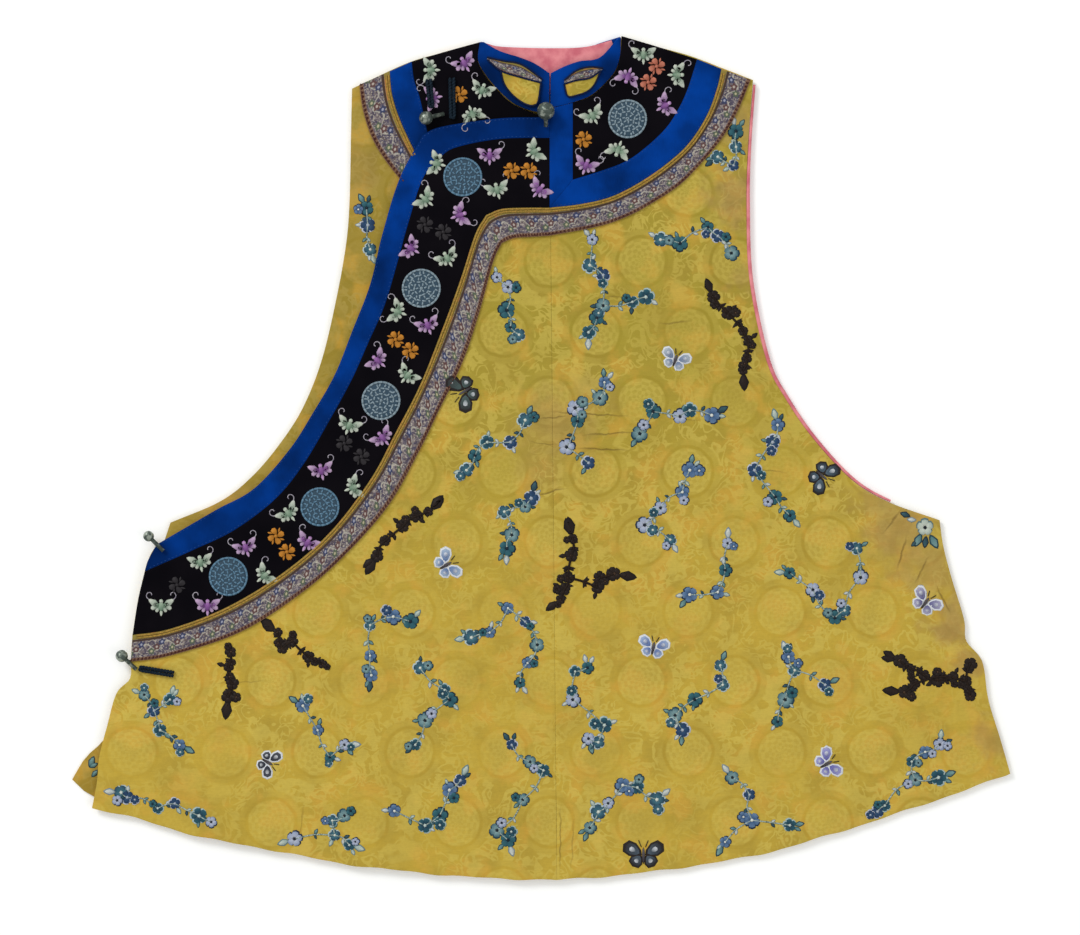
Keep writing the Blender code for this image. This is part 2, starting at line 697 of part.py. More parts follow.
def make_piping(front):
    """The edge of the pink lining along the armhole, beside the front's edge."""
    edge = curve_points(ARMHOLE_RIGHT, ARMHOLE_STEPS)[1:-2]
    surface = surface_of(front)
    inside = beside(edge, -2 * PIPING_RADIUS / MM)
    outside = beside(edge, (PIPING_RADIUS + SEAT) / MM)
    places = [
        (there.x * MM, there.y * MM, surface(here.x, here.y) - PIPING_RADIUS)
        for here, there in zip(inside, outside)
    ]
    tube("armhole_piping", places, PIPING_RADIUS, "pink_lining")


def hairpin(name, cord, surface):
    """A doubled cord from its loop at the head back to its sewn foot."""
    foot = Vector((cord.foot_x, cord.foot_y))
    head = Vector((cord.head_x, cord.head_y))
    along = (head - foot).normalized()
    side = Vector((-along.y, along.x)) * CORD_SPREAD
    flat = [point + side for point in straight(foot, head, CORD_STEPS)]
    for number in range(1, CORD_STEPS):
        angle = math.pi * number / CORD_STEPS
        flat.append(head + side * math.cos(angle) + along * CORD_SPREAD * math.sin(angle))
    flat += [point - side for point in straight(head, foot, CORD_STEPS)]
    places = [
        (point.x * MM, point.y * MM, surface(point.x, point.y) + SEAT + CORD_RADIUS)
        for point in flat
    ]
    return tube(name, places, CORD_RADIUS, "cord")


def make_button(name, button, surface, on_cloth):
    """A ball on a stem. The stem's foot lies on the cloth that it is sewn to."""
    ball = Vector((button.x, button.y))
    foot = Vector((button.stem_x, button.stem_y))
    reach = (foot - ball).length * MM
    radius = button.radius * MM
    bite = math.asin(STEM_RADIUS / radius)
    profile = [Vector((0.0, radius))]
    for number in range(1, BALL_ARC + 1):
        angle = (math.pi - bite) * number / BALL_ARC
        profile.append(Vector((radius * math.sin(angle), radius * math.cos(angle))))
    profile.append(Vector((STEM_RADIUS, -reach)))
    profile.append(Vector((0.0, -reach)))
    mesh = bpy.data.meshes.new(name)
    turned = bmesh.new()
    verts = [turned.verts.new((point.x, 0.0, point.y)) for point in profile]
    for first, second in zip(verts, verts[1:]):
        turned.edges.new((first, second))
    turned.to_mesh(mesh)
    turned.free()
    piece = add_object(name, mesh, "ball")
    turn = piece.modifiers.new("turn", "SCREW")
    turn.steps = BALL_SIDES
    turn.render_steps = BALL_SIDES
    turn.use_merge_vertices = True
    turn.merge_threshold = 0.00005
    stem = straight(ball, foot, BALL_ARC)[BALL_ARC // 2 - 1 :]
    foot_rise = max(surface(point.x, point.y) for point in stem) + SEAT + STEM_RADIUS
    ball_rise = foot_rise
    if on_cloth:
        ball_rise = max(foot_rise, surface(ball.x, ball.y) + SEAT + radius)
    centre = Vector((ball.x * MM, ball.y * MM, ball_rise))
    end = Vector((foot.x * MM, foot.y * MM, foot_rise))
    piece.location = centre
    piece.rotation_euler = (end - centre).to_track_quat("-Z", "Y").to_euler()
    return piece


def make_fastenings():
    names = [
        "under_front", "front_overlap_width", "front_plain_width", "satin_shoulder",
        "satin_overlap", "band_overlap", "band_centre", "band_shoulder", "ribbon_overlap",
        "collar_left", "collar_right", "satin_yoke",
    ]
    surface = surface_of(*[bpy.data.objects[name] for name in names])
    for name, button in BUTTONS.items():
        on_cloth = name in ("button_neck", "button_shoulder")
        make_button(name, button, surface, on_cloth)
    for name, cord in CORDS.items():
        hairpin(name, cord, surface)


for leftover in list(bpy.data.objects):
    bpy.data.objects.remove(leftover, do_unlink=True)

garment = bpy.data.collections.new("waistcoat")
bpy.context.scene.collection.children.link(garment)

make_back()
under_front = make_under_front()
front_widths = [make_front_overlap_width(), make_front_plain_width()]
yoke_line = make_overlap_border(front_widths)
make_yoke(front_widths, yoke_line)
make_shoulder(under_front)
make_collar(surface_of(*garment.objects))
make_insets()
make_piping(front_widths[1])
make_fastenings()
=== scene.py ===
import math
import random
from collections import namedtuple

import bmesh
import bpy
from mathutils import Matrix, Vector
from mathutils.bvhtree import BVHTree


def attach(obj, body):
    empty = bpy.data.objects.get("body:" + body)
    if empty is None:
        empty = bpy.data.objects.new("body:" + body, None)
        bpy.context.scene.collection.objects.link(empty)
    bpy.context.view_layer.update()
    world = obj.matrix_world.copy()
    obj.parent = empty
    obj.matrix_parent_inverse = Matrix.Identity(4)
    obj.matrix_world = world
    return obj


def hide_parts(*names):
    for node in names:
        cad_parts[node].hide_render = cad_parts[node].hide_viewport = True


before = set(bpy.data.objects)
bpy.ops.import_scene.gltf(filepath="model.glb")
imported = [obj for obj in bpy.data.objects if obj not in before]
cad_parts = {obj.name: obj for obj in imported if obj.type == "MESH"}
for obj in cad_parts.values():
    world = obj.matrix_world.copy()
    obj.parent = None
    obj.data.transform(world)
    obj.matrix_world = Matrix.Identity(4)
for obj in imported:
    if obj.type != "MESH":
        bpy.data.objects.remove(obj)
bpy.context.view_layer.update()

# The waistcoat lies face up on a plain white table, under soft light from all round and a
# broad lamp at the upper left. It is seen from straight above, through a long lens.
MM = 0.001
VIEW_WIDTH = 885.6 * MM
VIEW_X = -0.8 * MM
VIEW_Y = -7.8 * MM
CLOTH_LEVEL = 5.0 * MM
LENS = 90.0
SENSOR = 36.0
TABLE_HALF = 3.0
ROOM_LIGHT = 0.66

scene = bpy.context.scene
scene.view_settings.view_transform = "Standard"

camera = bpy.data.cameras.new("camera")
camera.lens = LENS
camera.sensor_width = SENSOR
camera.sensor_fit = "HORIZONTAL"
stand = bpy.data.objects.new("camera", camera)
stand.location = (VIEW_X, VIEW_Y, CLOTH_LEVEL + VIEW_WIDTH * LENS / SENSOR)
scene.collection.objects.link(stand)
scene.camera = stand

room = bpy.data.worlds.new("room")
room.use_nodes = True
room.node_tree.nodes["Background"].inputs["Color"].default_value = (1.0, 1.0, 1.0, 1.0)
room.node_tree.nodes["Background"].inputs["Strength"].default_value = ROOM_LIGHT
scene.world = room


def hang_lamp(name, place, size, watts):
    lamp = bpy.data.lights.new(name, "AREA")
    lamp.energy = watts
    lamp.size = size
    hung = bpy.data.objects.new(name, lamp)
    hung.location = place
    hung.rotation_euler = Vector(place).to_track_quat("Z", "Y").to_euler()
    scene.collection.objects.link(hung)


hang_lamp("lamp_left", place=(-3.0, 3.0, 3.1), size=1.6, watts=130.0)
hang_lamp("lamp_right", place=(3.0, -1.4, 3.2), size=3.0, watts=26.0)


def set_down(name, shape):
    """A finished shape as a smooth object, with its place in its mesh."""
    mesh = bpy.data.meshes.new(name)
    shape.to_mesh(mesh)
    shape.free()
    mesh.shade_smooth()
    piece = bpy.data.objects.new(name, mesh)
    scene.collection.objects.link(piece)
    return piece


shape = bmesh.new()
bmesh.ops.create_grid(shape, x_segments=1, y_segments=1, size=TABLE_HALF)
table = set_down("table", shape)
paint = bpy.data.materials.new("table_paint")
paint.use_nodes = True
for socket, value in (
    ("Base Color", (0.93, 0.94, 0.93, 1.0)),
    ("Roughness", 0.9),
    ("Specular IOR Level", 0.0),
    ("Emission Color", (1.0, 1.0, 1.0, 1.0)),
    ("Emission Strength", 0.12),
):
    paint.node_tree.nodes["Principled BSDF"].inputs[socket].default_value = value
table.data.materials.append(paint)

# The back is one layer of lined yellow damask, cut in one with the shoulders and laid flat.
# It shows only where the front's hem lies a little inside it at the lower left, and behind
# the collar. Its woven figure is a half-drop repeat of round fret medallions and scrolls.
BACK_TOP = 2.0
GAP = 0.3
CLOTH = 2.0
SEAM_TURN = 0.03
ROUND_RIM = 0.16
ROUND_ANGLE = 50.0
EASE_STEPS = 12
CURVE_STEPS = 24
HEM_WAVES = ((0.5, 11.0, 0.0), (0.35, 5.3, 2.0))
ROUNDEL_X = 82.8
ROUNDEL_Y = -183.7
ROUNDEL_STEP = 76.0
ROUNDEL_ROW = 57.4
ROUNDEL_REACH = 18.8

Cut = namedtuple("Cut", "x y")
# A soft round patch, used both for real stains on the damask and for painted shade on the satin.
StainOrShade = namedtuple("StainOrShade", "x y reach strength")
Crease = namedtuple("Crease", "x y turn length width height")

SHOULDER_LEFT = [Cut(-155, 303), Cut(-136, 312), Cut(-107, 325), Cut(-79, 333), Cut(-50, 341)]
SHOULDER_RIGHT = [Cut(66, 346), Cut(93, 338), Cut(122, 330), Cut(151, 319), Cut(174, 310)]
NECK_BACK = [Cut(-50, 341), Cut(-36, 320), Cut(7, 309), Cut(50, 321), Cut(66, 346)]
ARMHOLE_LEFT = [
    Cut(-155, 303), Cut(-156, 260), Cut(-157, 212), Cut(-160, 175), Cut(-168, 130),
    Cut(-180, 80), Cut(-196, 40), Cut(-217, 8), Cut(-239, -17), Cut(-264, -36), Cut(-304, -53),
]
BACK_SIDE_LEFT = [
    Cut(-304, -53), Cut(-313, -84), Cut(-324, -122), Cut(-331, -160), Cut(-342, -200),
    Cut(-358, -230), Cut(-374, -246), Cut(-385, -264),
]
BACK_HEM = [
    Cut(-385, -264), Cut(-371, -276), Cut(-337, -290), Cut(-280, -306), Cut(-165, -328),
    Cut(-50, -340), Cut(13, -342), Cut(122, -331), Cut(237, -305), Cut(352, -267),
    Cut(382, -257),
]
BACK_SIDE_RIGHT = [
    Cut(324, -52), Cut(327, -72), Cut(334, -99), Cut(344, -132), Cut(346, -152),
    Cut(359, -170), Cut(364, -198), Cut(374, -231), Cut(382, -257),
]
BACK_ARMHOLE_RIGHT = [
    Cut(172, 308), Cut(168, 258), Cut(166.5, 210), Cut(169, 146), Cut(183, 80), Cut(199, 48),
    Cut(222, 15), Cut(255, -20), Cut(285, -38), Cut(324, -52),
]
STAINS = [
    StainOrShade(x=296, y=-60, reach=46, strength=0.6),
    StainOrShade(x=318, y=-92, reach=36, strength=0.5),
    StainOrShade(x=340, y=-136, reach=34, strength=0.65),
    StainOrShade(x=272, y=-34, reach=30, strength=0.45),
    StainOrShade(x=352, y=-168, reach=22, strength=0.5),
    StainOrShade(x=374, y=-232, reach=26, strength=0.45),
    StainOrShade(x=12, y=26, reach=50, strength=0.45),
    StainOrShade(x=4, y=-8, reach=34, strength=0.3),
    StainOrShade(x=40, y=52, reach=30, strength=0.25),
    StainOrShade(x=160, y=214, reach=34, strength=0.6),
    StainOrShade(x=168, y=270, reach=26, strength=0.6),
    StainOrShade(x=172, y=150, reach=24, strength=0.4),
    StainOrShade(x=186, y=96, reach=22, strength=0.35),
    StainOrShade(x=-150, y=236, reach=30, strength=0.3),
    StainOrShade(x=-262, y=-40, reach=40, strength=0.35),
]
PRESSED_LINES = [
    Crease(x=40, y=36, turn=-3, length=76, width=1.0, height=0.62),
    Crease(x=10, y=33, turn=6, length=30, width=0.8, height=0.5),
    Crease(x=57, y=20, turn=4, length=54, width=0.9, height=0.55),
    Crease(x=50, y=7, turn=-2, length=52, width=1.0, height=0.62),
    Crease(x=7, y=-28, turn=13, length=34, width=0.9, height=0.6),
    Crease(x=2, y=12, turn=-8, length=26, width=0.7, height=0.4),
    Crease(x=110, y=111, turn=5, length=32, width=0.9, height=0.45),
    Crease(x=64, y=132, turn=-6, length=36, width=0.8, height=0.35),
    Crease(x=181, y=-10, turn=-4, length=52, width=0.8, height=0.4),
    Crease(x=118, y=31, turn=0, length=30, width=0.8, height=0.35),
    Crease(x=296, y=-78, turn=74, length=34, width=1.2, height=0.6),
    Crease(x=312, y=-92, turn=66, length=30, width=1.0, height=0.5),
    Crease(x=288, y=-52, turn=52, length=28, width=1.0, height=0.5),
    Crease(x=330, y=-116, turn=-64, length=30, width=1.0, height=0.55),
    Crease(x=-246, y=-184, turn=3, length=52, width=0.8, height=0.3),
    Crease(x=-196, y=-300, turn=84, length=40, width=0.8, height=0.3),
    Crease(x=16, y=-312, turn=89, length=64, width=0.8, height=0.5),
    Crease(x=26, y=-316, turn=87, length=52, width=0.8, height=0.35),
]


def walked(points):
    """How far along a line each of its points lies."""
    lengths = [0.0]
    for here, there in zip(points, points[1:]):
        lengths.append(lengths[-1] + (there - here).length)
    return lengths


def line_through(rows, count):
    """Points at equal steps along a smooth line through the rows of a cut."""
    knots = [Vector((row.x, row.y)) for row in rows]
    knots = [2 * knots[0] - knots[1], *knots, 2 * knots[-1] - knots[-2]]
    fine = []
    for before, start, end, after in zip(knots, knots[1:], knots[2:], knots[3:]):
        for step in range(CURVE_STEPS):
            t = step / CURVE_STEPS
            bend = (2 * before - 5 * start + 4 * end - after) * t**2
            turn = (3 * start - before - 3 * end + after) * t**3
            fine.append(0.5 * (2 * start + (end - before) * t + bend + turn))
    fine.append(knots[-2])
    lengths = walked(fine)
    points = []
    index = 0
    for number in range(count + 1):
        wanted = lengths[-1] * number / count
        while index < len(fine) - 2 and lengths[index + 1] < wanted:
            index += 1
        share = (wanted - lengths[index]) / (lengths[index + 1] - lengths[index])
        points.append(fine[index].lerp(fine[index + 1], share))
    return points


def joined(*runs):
    """One line from several that follow on."""
    points = list(runs[0])
    for run in runs[1:]:
        points.extend(run[1:])
    return points


def edge_of(*cuts):
    """One line through cuts that follow on, each given with its number of steps."""
    return joined(*[line_through(rows, count) for rows, count in cuts])


def straight(start, end, count):
    return [start.lerp(end, number / count) for number in range(count + 1)]


def smoothstep(start, end, value):
    share = min(max((value - start) / (end - start), 0.0), 1.0)
    return share * share * (3.0 - 2.0 * share)


def uneven(line):
    """A hem that is not quite true: it waves a little, apart from its two ends."""
    hem = [point.copy() for point in line]
    for point in hem[1:-1]:
        point.y += sum(rise * math.sin(point.x / length + start) for rise, length, start in HEM_WAVES)
    return hem


def turn_in_edges(shape):
    """Draws the outline in a little, so that neighbours at a seam stay apart."""
    moves = {}
    for edge in shape.edges:
        if not edge.is_boundary:
            continue
        along = (edge.verts[1].co - edge.verts[0].co).normalized()
        inward = Vector((-along.y, along.x, 0.0))
        middle = (edge.verts[0].co + edge.verts[1].co) / 2
        if inward.dot(edge.link_faces[0].calc_center_median() - middle) < 0:
            inward = -inward
        for vert in edge.verts:
            moves.setdefault(vert, []).append(inward)
    for vert, inwards in moves.items():
        mean = sum(inwards, Vector()) / len(inwards)
        vert.co += mean * SEAM_TURN / max(mean.length_squared, 0.3)


def lay_cloth(name, top, bottom, left, right, under, wall, rim):
    """Cloth filled in between four edges, over the height of its underside, all in mm."""
    columns = len(top) - 1
    rows = len(left) - 1
    shape = bmesh.new()
    bmesh.ops.create_grid(shape, x_segments=columns, y_segments=rows, size=1.0)
    lie = shape.loops.layers.uv.new("lie")
    along = walked(top)
    for vert in shape.verts:
        column = round((vert.co.x + 1.0) / 2.0 * columns)
        row = round((1.0 - vert.co.y) / 2.0 * rows)
        u = column / columns
        v = row / rows
        for loop in vert.link_loops:
            loop[lie].uv = (along[column] * MM, v)
        point = (
            (1 - v) * top[column]
            + v * bottom[column]
            + (1 - u) * left[row]
            + u * right[row]
            - (1 - u) * (1 - v) * top[0]
            - u * (1 - v) * top[-1]
            - (1 - u) * v * bottom[0]
            - u * v * bottom[-1]
        )
        vert.co = (point.x, point.y, 0.0)
    shape.normal_update()
    if sum(face.normal.z for face in shape.faces) < 0:
        bmesh.ops.reverse_faces(shape, faces=shape.faces)
    inner = [vert for vert in shape.verts if not vert.is_boundary]
    for _ in range(EASE_STEPS):
        bmesh.ops.smooth_vert(shape, verts=inner, factor=0.5, use_axis_x=True, use_axis_y=True)
    turn_in_edges(shape)
    for vert in shape.verts:
        vert.co.z = under(vert.co.x, vert.co.y)
        vert.co *= MM
    piece = set_down(name, shape)
    thickness = piece.modifiers.new("thickness", "SOLIDIFY")
    thickness.thickness = wall * MM
    thickness.offset = 1.0
    rounded = piece.modifiers.new("rounded_rim", "BEVEL")
    rounded.width = rim * MM
    rounded.segments = 2
    rounded.limit_method = "ANGLE"
    rounded.angle_limit = math.radians(ROUND_ANGLE)
    return piece


def state_cut(outline):
    """Goes round the edges of a cloth's outline in mm, and does nothing with them."""
    for here, there in zip(outline, outline[1:] + outline[:1]):
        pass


def colour_of(red, green, blue):
    """A colour as the eye reads it from 0 to 255, as the light that it sends back."""
    parts = []
    for part in (red, green, blue):
        level = part / 255
        parts.append(level / 12.92 if level <= 0.04045 else ((level + 0.055) / 1.055) ** 2.4)
    return (*parts, 1.0)


class Dye:
    """A value or a colour on its way through a material, to which operators add nodes."""

    def __init__(self, tree, socket):
        self.tree = tree
        self.socket = socket

    def node(self, kind, settings=None, inputs=None, out=0):
        made = self.tree.nodes.new(kind)
        for name, value in (settings or {}).items():
            setattr(made, name, value)
        for key, value in (inputs or {}).items():
            self.feed(made.inputs[key], value)
        return Dye(self.tree, made.outputs[out])

    def feed(self, socket, value):
        if isinstance(value, Dye):
            self.tree.links.new(value.socket, socket)
        else:
            socket.default_value = value

    def maths(self, operation, *others):
        """One Math node, on this value and others."""
        return self.node("ShaderNodeMath", {"operation": operation}, dict(enumerate((self, *others))))

    def __add__(self, other):
        return self.maths("ADD", other)

    def __radd__(self, other):
        return self.maths("ADD", other)

    def __sub__(self, other):
        return self.maths("SUBTRACT", other)

    def __rsub__(self, other):
        return self.node("ShaderNodeMath", {"operation": "SUBTRACT"}, {0: other, 1: self})

    def __mul__(self, other):
        return self.maths("MULTIPLY", other)

    def __rmul__(self, other):
        return self.maths("MULTIPLY", other)

    def __truediv__(self, other):
        return self.maths("DIVIDE", other)

    def rise(self, low, high):
        """From 0 below low to 1 above high, with soft ends."""
        return self.node(
            "ShaderNodeMapRange",
            {"interpolation_type": "SMOOTHSTEP"},
            {"Value": self, "From Min": low, "From Max": high},
        )

    def band(self, middle, half, soft):
        """1 within half of middle, and 0 past that."""
        return 1.0 - (self - middle).maths("ABSOLUTE").rise(half, half + soft)

    def blend(self, colour, other):
        """One colour where this is 0, and the other where it is 1."""
        return self.node("ShaderNodeMix", {"data_type": "RGBA"}, {0: self, 6: colour, 7: other}, out=2)

    def cloud(self, size, detail=2.0, twist=0.0):
        """Soft uneven patches of about a size, in mm, read at this place."""
        return self.node(
            "ShaderNodeTexNoise",
            None,
            {"Vector": self, "Scale": 1.0 / size, "Detail": detail, "Distortion": twist},
            out="Fac",
        )

    def mapped(self, **settings):
        """This place moved by a Location, or drawn out by a Scale."""
        return self.node("ShaderNodeMapping", None, {"Vector": self, **settings})


def start_material(name, specular):
    """A new material, its shader, and the place on the object in mm."""
    made = bpy.data.materials.new(name)
    made.use_nodes = True
    shader = made.node_tree.nodes["Principled BSDF"]
    shader.inputs["Specular IOR Level"].default_value = specular
    place = Dye(made.node_tree, None).node("ShaderNodeTexCoord", out="Object")
    return made, shader, place.mapped(Scale=(1 / MM, 1 / MM, 1 / MM))


def finish_material(shader, colour, roughness, relief):
    """Sets what the shader shows. The relief is in mm."""
    colour.feed(shader.inputs["Base Color"], colour)
    colour.feed(shader.inputs["Roughness"], roughness)
    bump = relief.node("ShaderNodeBump", None, {"Height": relief, "Distance": MM})
    colour.feed(shader.inputs["Normal"], bump)


def split(place):
    """The x and y of a place, as numbers."""
    parts = place.node("ShaderNodeSeparateXYZ", None, {0: place})
    return parts, Dye(place.tree, parts.socket.node.outputs[1])


def distance(aside, off):
    return (aside * aside + off * off).maths("SQRT")


def strongest(marks):
    """At each place, the strongest of several marks."""
    most = marks[0]
    for mark in marks[1:]:
        most = most.maths("MAXIMUM", mark)
    return most


def weave_damask(name, upper, lower, pale, pressed_lines):
    """Yellow silk damask: duller and greener above, warmer below, with a paler figure."""
    cloth, shader, place = start_material(name, specular=0.06)
    x, y = split(place)

    # The rounds stand in a half-drop repeat, on cloth that is drawn out of true a little.
    drift = place.cloud(70.0) * 5.0 - 2.5
    ripple = place.cloud(8.0) * 2.2 - 1.1
    along = x + drift + ripple
    down = y - drift + ripple
    row = ((down - ROUNDEL_Y) / ROUNDEL_ROW).maths("ROUND")
    shift = row.maths("FLOORED_MODULO", 2.0) * 0.5
    column = ((along - ROUNDEL_X) / ROUNDEL_STEP - shift).maths("ROUND") + shift
    right = along - ROUNDEL_X - column * ROUNDEL_STEP
    above = down - ROUNDEL_Y - row * ROUNDEL_ROW
    away = distance(right, above)

    # Each round has a net of fret inside, a groove and a paler ring, and scrolls run between.
    disc = 1.0 - away.rise(ROUNDEL_REACH - 0.8, ROUNDEL_REACH + 0.8)
    groove = away.band(ROUNDEL_REACH + 1.8, 0.8, 1.0)
    halo = away.band(ROUNDEL_REACH + 5.0, 1.5, 1.6) * place.cloud(24.0).rise(0.4, 0.56)
    spokes = (above.maths("ARCTAN2", right) * 8.0).maths("SINE")
    rings = (away * 1.15).maths("SINE")
    fret = (spokes * rings).rise(-0.15, 0.25) * disc
    curls = place.cloud(13.0, detail=1.0, twist=1.6).band(0.5, 0.045, 0.03)
    tufts = place.cloud(20.0, detail=2.0, twist=0.6).rise(0.55, 0.62)
    scroll = curls.maths("MAXIMUM", tufts) * away.rise(ROUNDEL_REACH + 6.5, ROUNDEL_REACH + 8.5)
    figure = disc * 0.68 - fret * 0.36 + halo * 0.3 + scroll * 0.7 - groove * 0.12
    figure = figure * (place.cloud(80.0, detail=3.0).rise(0.3, 0.62) * 0.65 + 0.35)

    # The ground is uneven with age: greyed and reddened in patches, and stained in places.
    low = (0.0 - y + x * 0.12 + place.cloud(120.0) * 90.0).rise(-60.0, 210.0)
    ground = low.blend(upper, lower)
    dull = place.cloud(28.0, detail=5.0).rise(0.36, 0.68) * 0.55
    ground = dull.blend(ground, colour_of(156, 132, 50))
    warm = place.mapped(Location=(400.0, 90.0, 0.0)).cloud(22.0, detail=6.0).rise(0.47, 0.66) * 0.62
    ground = warm.blend(ground, colour_of(206, 158, 62))
    colour = (figure * 0.62 + 0.1).maths("MAXIMUM", 0.0).blend(ground, pale)
    ragged = place.cloud(15.0, detail=5.0) * 60.0 - 30.0
    spots = []
    for stain in STAINS:
        near = distance(x - stain.x, y - stain.y) + ragged
        spots.append((1.0 - near.rise(stain.reach * 0.15, stain.reach)) * stain.strength)
    streaked = place.cloud(12.0, detail=3.0).rise(0.3, 0.7)
    streaked = streaked.blend(colour_of(148, 120, 76), colour_of(174, 142, 86))
    colour = strongest(spots).blend(colour, streaked)
    thread = place.mapped(Scale=(0.12, 1.5, 1.0)).cloud(1.0, detail=2.0).rise(0.35, 0.7)
    grain = place.cloud(2.6, detail=2.0).rise(0.3, 0.75)
    colour = (thread * 0.1 + grain * 0.12).blend(colour, colour_of(142, 120, 48))
    crumple = place.cloud(14.0, detail=3.0) * 0.6 + place.cloud(42.0) * 1.4
    relief = figure * 0.07 + crumple + thread * 0.03

    # Sharp creases are pressed into it: each dents the relief, and painted shade darkens it as a thin
    # dark line.
    lines = []
    for line in pressed_lines:
        turn = math.radians(line.turn)
        aside = x - line.x
        off = y - line.y
        course = aside * math.cos(turn) + off * math.sin(turn)
        across = off * math.cos(turn) - aside * math.sin(turn) + ripple * 1.6
        mark = across.band(0.0, 0.1, line.width)
        mark = mark * course.band(0.0, line.length * 0.12, line.length * 0.4)
        lines.append(mark * line.height)
    if lines:
        pressed = strongest(lines)
        # Painted shade: each crease's line is darkened towards brown.
        colour = pressed.blend(colour, colour_of(104, 80, 40))
        relief = relief - pressed * 0.5
    finish_material(shader, colour, 0.62 - figure * 0.16, relief)
    return cloth


def wear(piece, material, slot, *nodes):
    """A finished piece takes its material, and stands for the nodes that it replaces."""
    piece.data.materials.append(material)
    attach(piece, "root")
    if nodes:
        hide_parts(*nodes)
    return piece


def sew_panel(name, edges, under, wall, rim, material, slot, node):
    """A cloth between its top, bottom, left and right edges, with its material."""
    top, bottom, left, right = edges
    piece = lay_cloth(name, top, bottom, left, right, under, wall, rim)
    wear(piece, material, slot, node)
    state_cut(top + right + bottom[::-1] + left[::-1])
    return piece


yellow = weave_damask(
    "yellow_damask",
    upper=colour_of(158, 141, 48),
    lower=colour_of(190, 160, 58),
    pale=colour_of(210, 190, 92),
    pressed_lines=PRESSED_LINES,
)
# A darker copy of the same damask, its colours painted down as shade, for the back and the under front.
yellow_in_painted_shade = weave_damask(
    "yellow_in_painted_shade",
    upper=colour_of(148, 128, 46),
    lower=colour_of(154, 124, 40),
    pale=colour_of(176, 154, 80),
    pressed_lines=[],
)
back = sew_panel(
    "silk_back",
    (
        edge_of((SHOULDER_LEFT, 16), (NECK_BACK, 26), (SHOULDER_RIGHT, 16)),
        uneven(line_through(BACK_HEM, 58)),
        edge_of((ARMHOLE_LEFT, 52), (BACK_SIDE_LEFT, 26)),
        edge_of((BACK_ARMHOLE_RIGHT, 52), (BACK_SIDE_RIGHT, 26)),
    ),
    lambda x, y: 0.0, CLOTH, ROUND_RIM, yellow_in_painted_shade, "damask", "back_panel",
)

# The under front lies on the back, below the overlap. Its damask shows as a strip along the
# left armhole, where it is a little creased and painted darker as shade, and its neck and shoulder
# carry trims.
UNDER_INNER_X = -14.0
STRIP_LOWEST = -0.2
UNDER_SIDE = [
    Cut(-304, -53), Cut(-314, -84), Cut(-325, -122), Cut(-331, -160), Cut(-341, -194),
    Cut(-351, -222), Cut(-358, -250), Cut(-362, -280),
]
UNDER_HEM = [Cut(-362, -280), Cut(-280, -302), Cut(-165, -324), Cut(-14, -337)]
NECK_LEFT = [
    Cut(-50, 341), Cut(-52, 326), Cut(-46, 314), Cut(-36, 302), Cut(-24, 291), Cut(-9, 284),
    Cut(5, 281),
]
UNDER_CORNER = [Cut(5, 281), Cut(1, 274), Cut(-8, 266), Cut(-14, 252)]
STRIP_CREASES = [
    Crease(x=-146, y=236, turn=80, length=54, width=4.5, height=0.5),
    Crease(x=-142, y=178, turn=98, length=60, width=5.0, height=0.6),
    Crease(x=-150, y=120, turn=66, length=44, width=4.0, height=0.5),
    Crease(x=-166, y=78, turn=62, length=40, width=3.6, height=0.4),
    Crease(x=-196, y=24, turn=48, length=34, width=3.0, height=0.35),
    Crease(x=-240, y=-30, turn=24, length=34, width=3.0, height=0.35),
]


def within(row, x, y):
    """A place as shares along and across a crease."""
    turn = math.radians(row.turn)
    along = (x - row.x) * math.cos(turn) + (y - row.y) * math.sin(turn)
    across = (y - row.y) * math.cos(turn) - (x - row.x) * math.sin(turn)
    return along / (row.length / 2), across / row.width


def creased(creases, x, y):
    """How far soft creases lift the cloth. Each is a ridge with a shallow trough beside it."""
    total = 0.0
    for row in creases:
        if abs(x - row.x) + abs(y - row.y) > 1.5 * row.length + 8 * row.width:
            continue
        along, across = within(row, x, y)
        across += 0.9 * along * along
        ridge = math.exp(-across * across) - 0.55 * math.exp(-((across - 1.7) ** 2))
        total += row.height * math.exp(-along * along) * ridge
    return total


def under_front_height(x, y):
    return BACK_TOP + GAP + max(creased(STRIP_CREASES, x, y), STRIP_LOWEST)


def under_front_top(x, y):
    return under_front_height(x, y) + CLOTH


under_top = edge_of((SHOULDER_LEFT, 26), (NECK_LEFT, 34))
under_corner = line_through(UNDER_CORNER, 10)
under_foot = Vector((UNDER_INNER_X, UNDER_HEM[-1].y))
under = sew_panel(
    "silk_under_front",
    (
        under_top,
        line_through(UNDER_HEM, len(under_top) - 1),
        edge_of((ARMHOLE_LEFT, 86), (UNDER_SIDE, 40)),
        joined(under_corner, straight(under_corner[-1], under_foot, 116)),
    ),
    under_front_height, CLOTH, ROUND_RIM, yellow_in_painted_shade, "damask", "under_front",
)

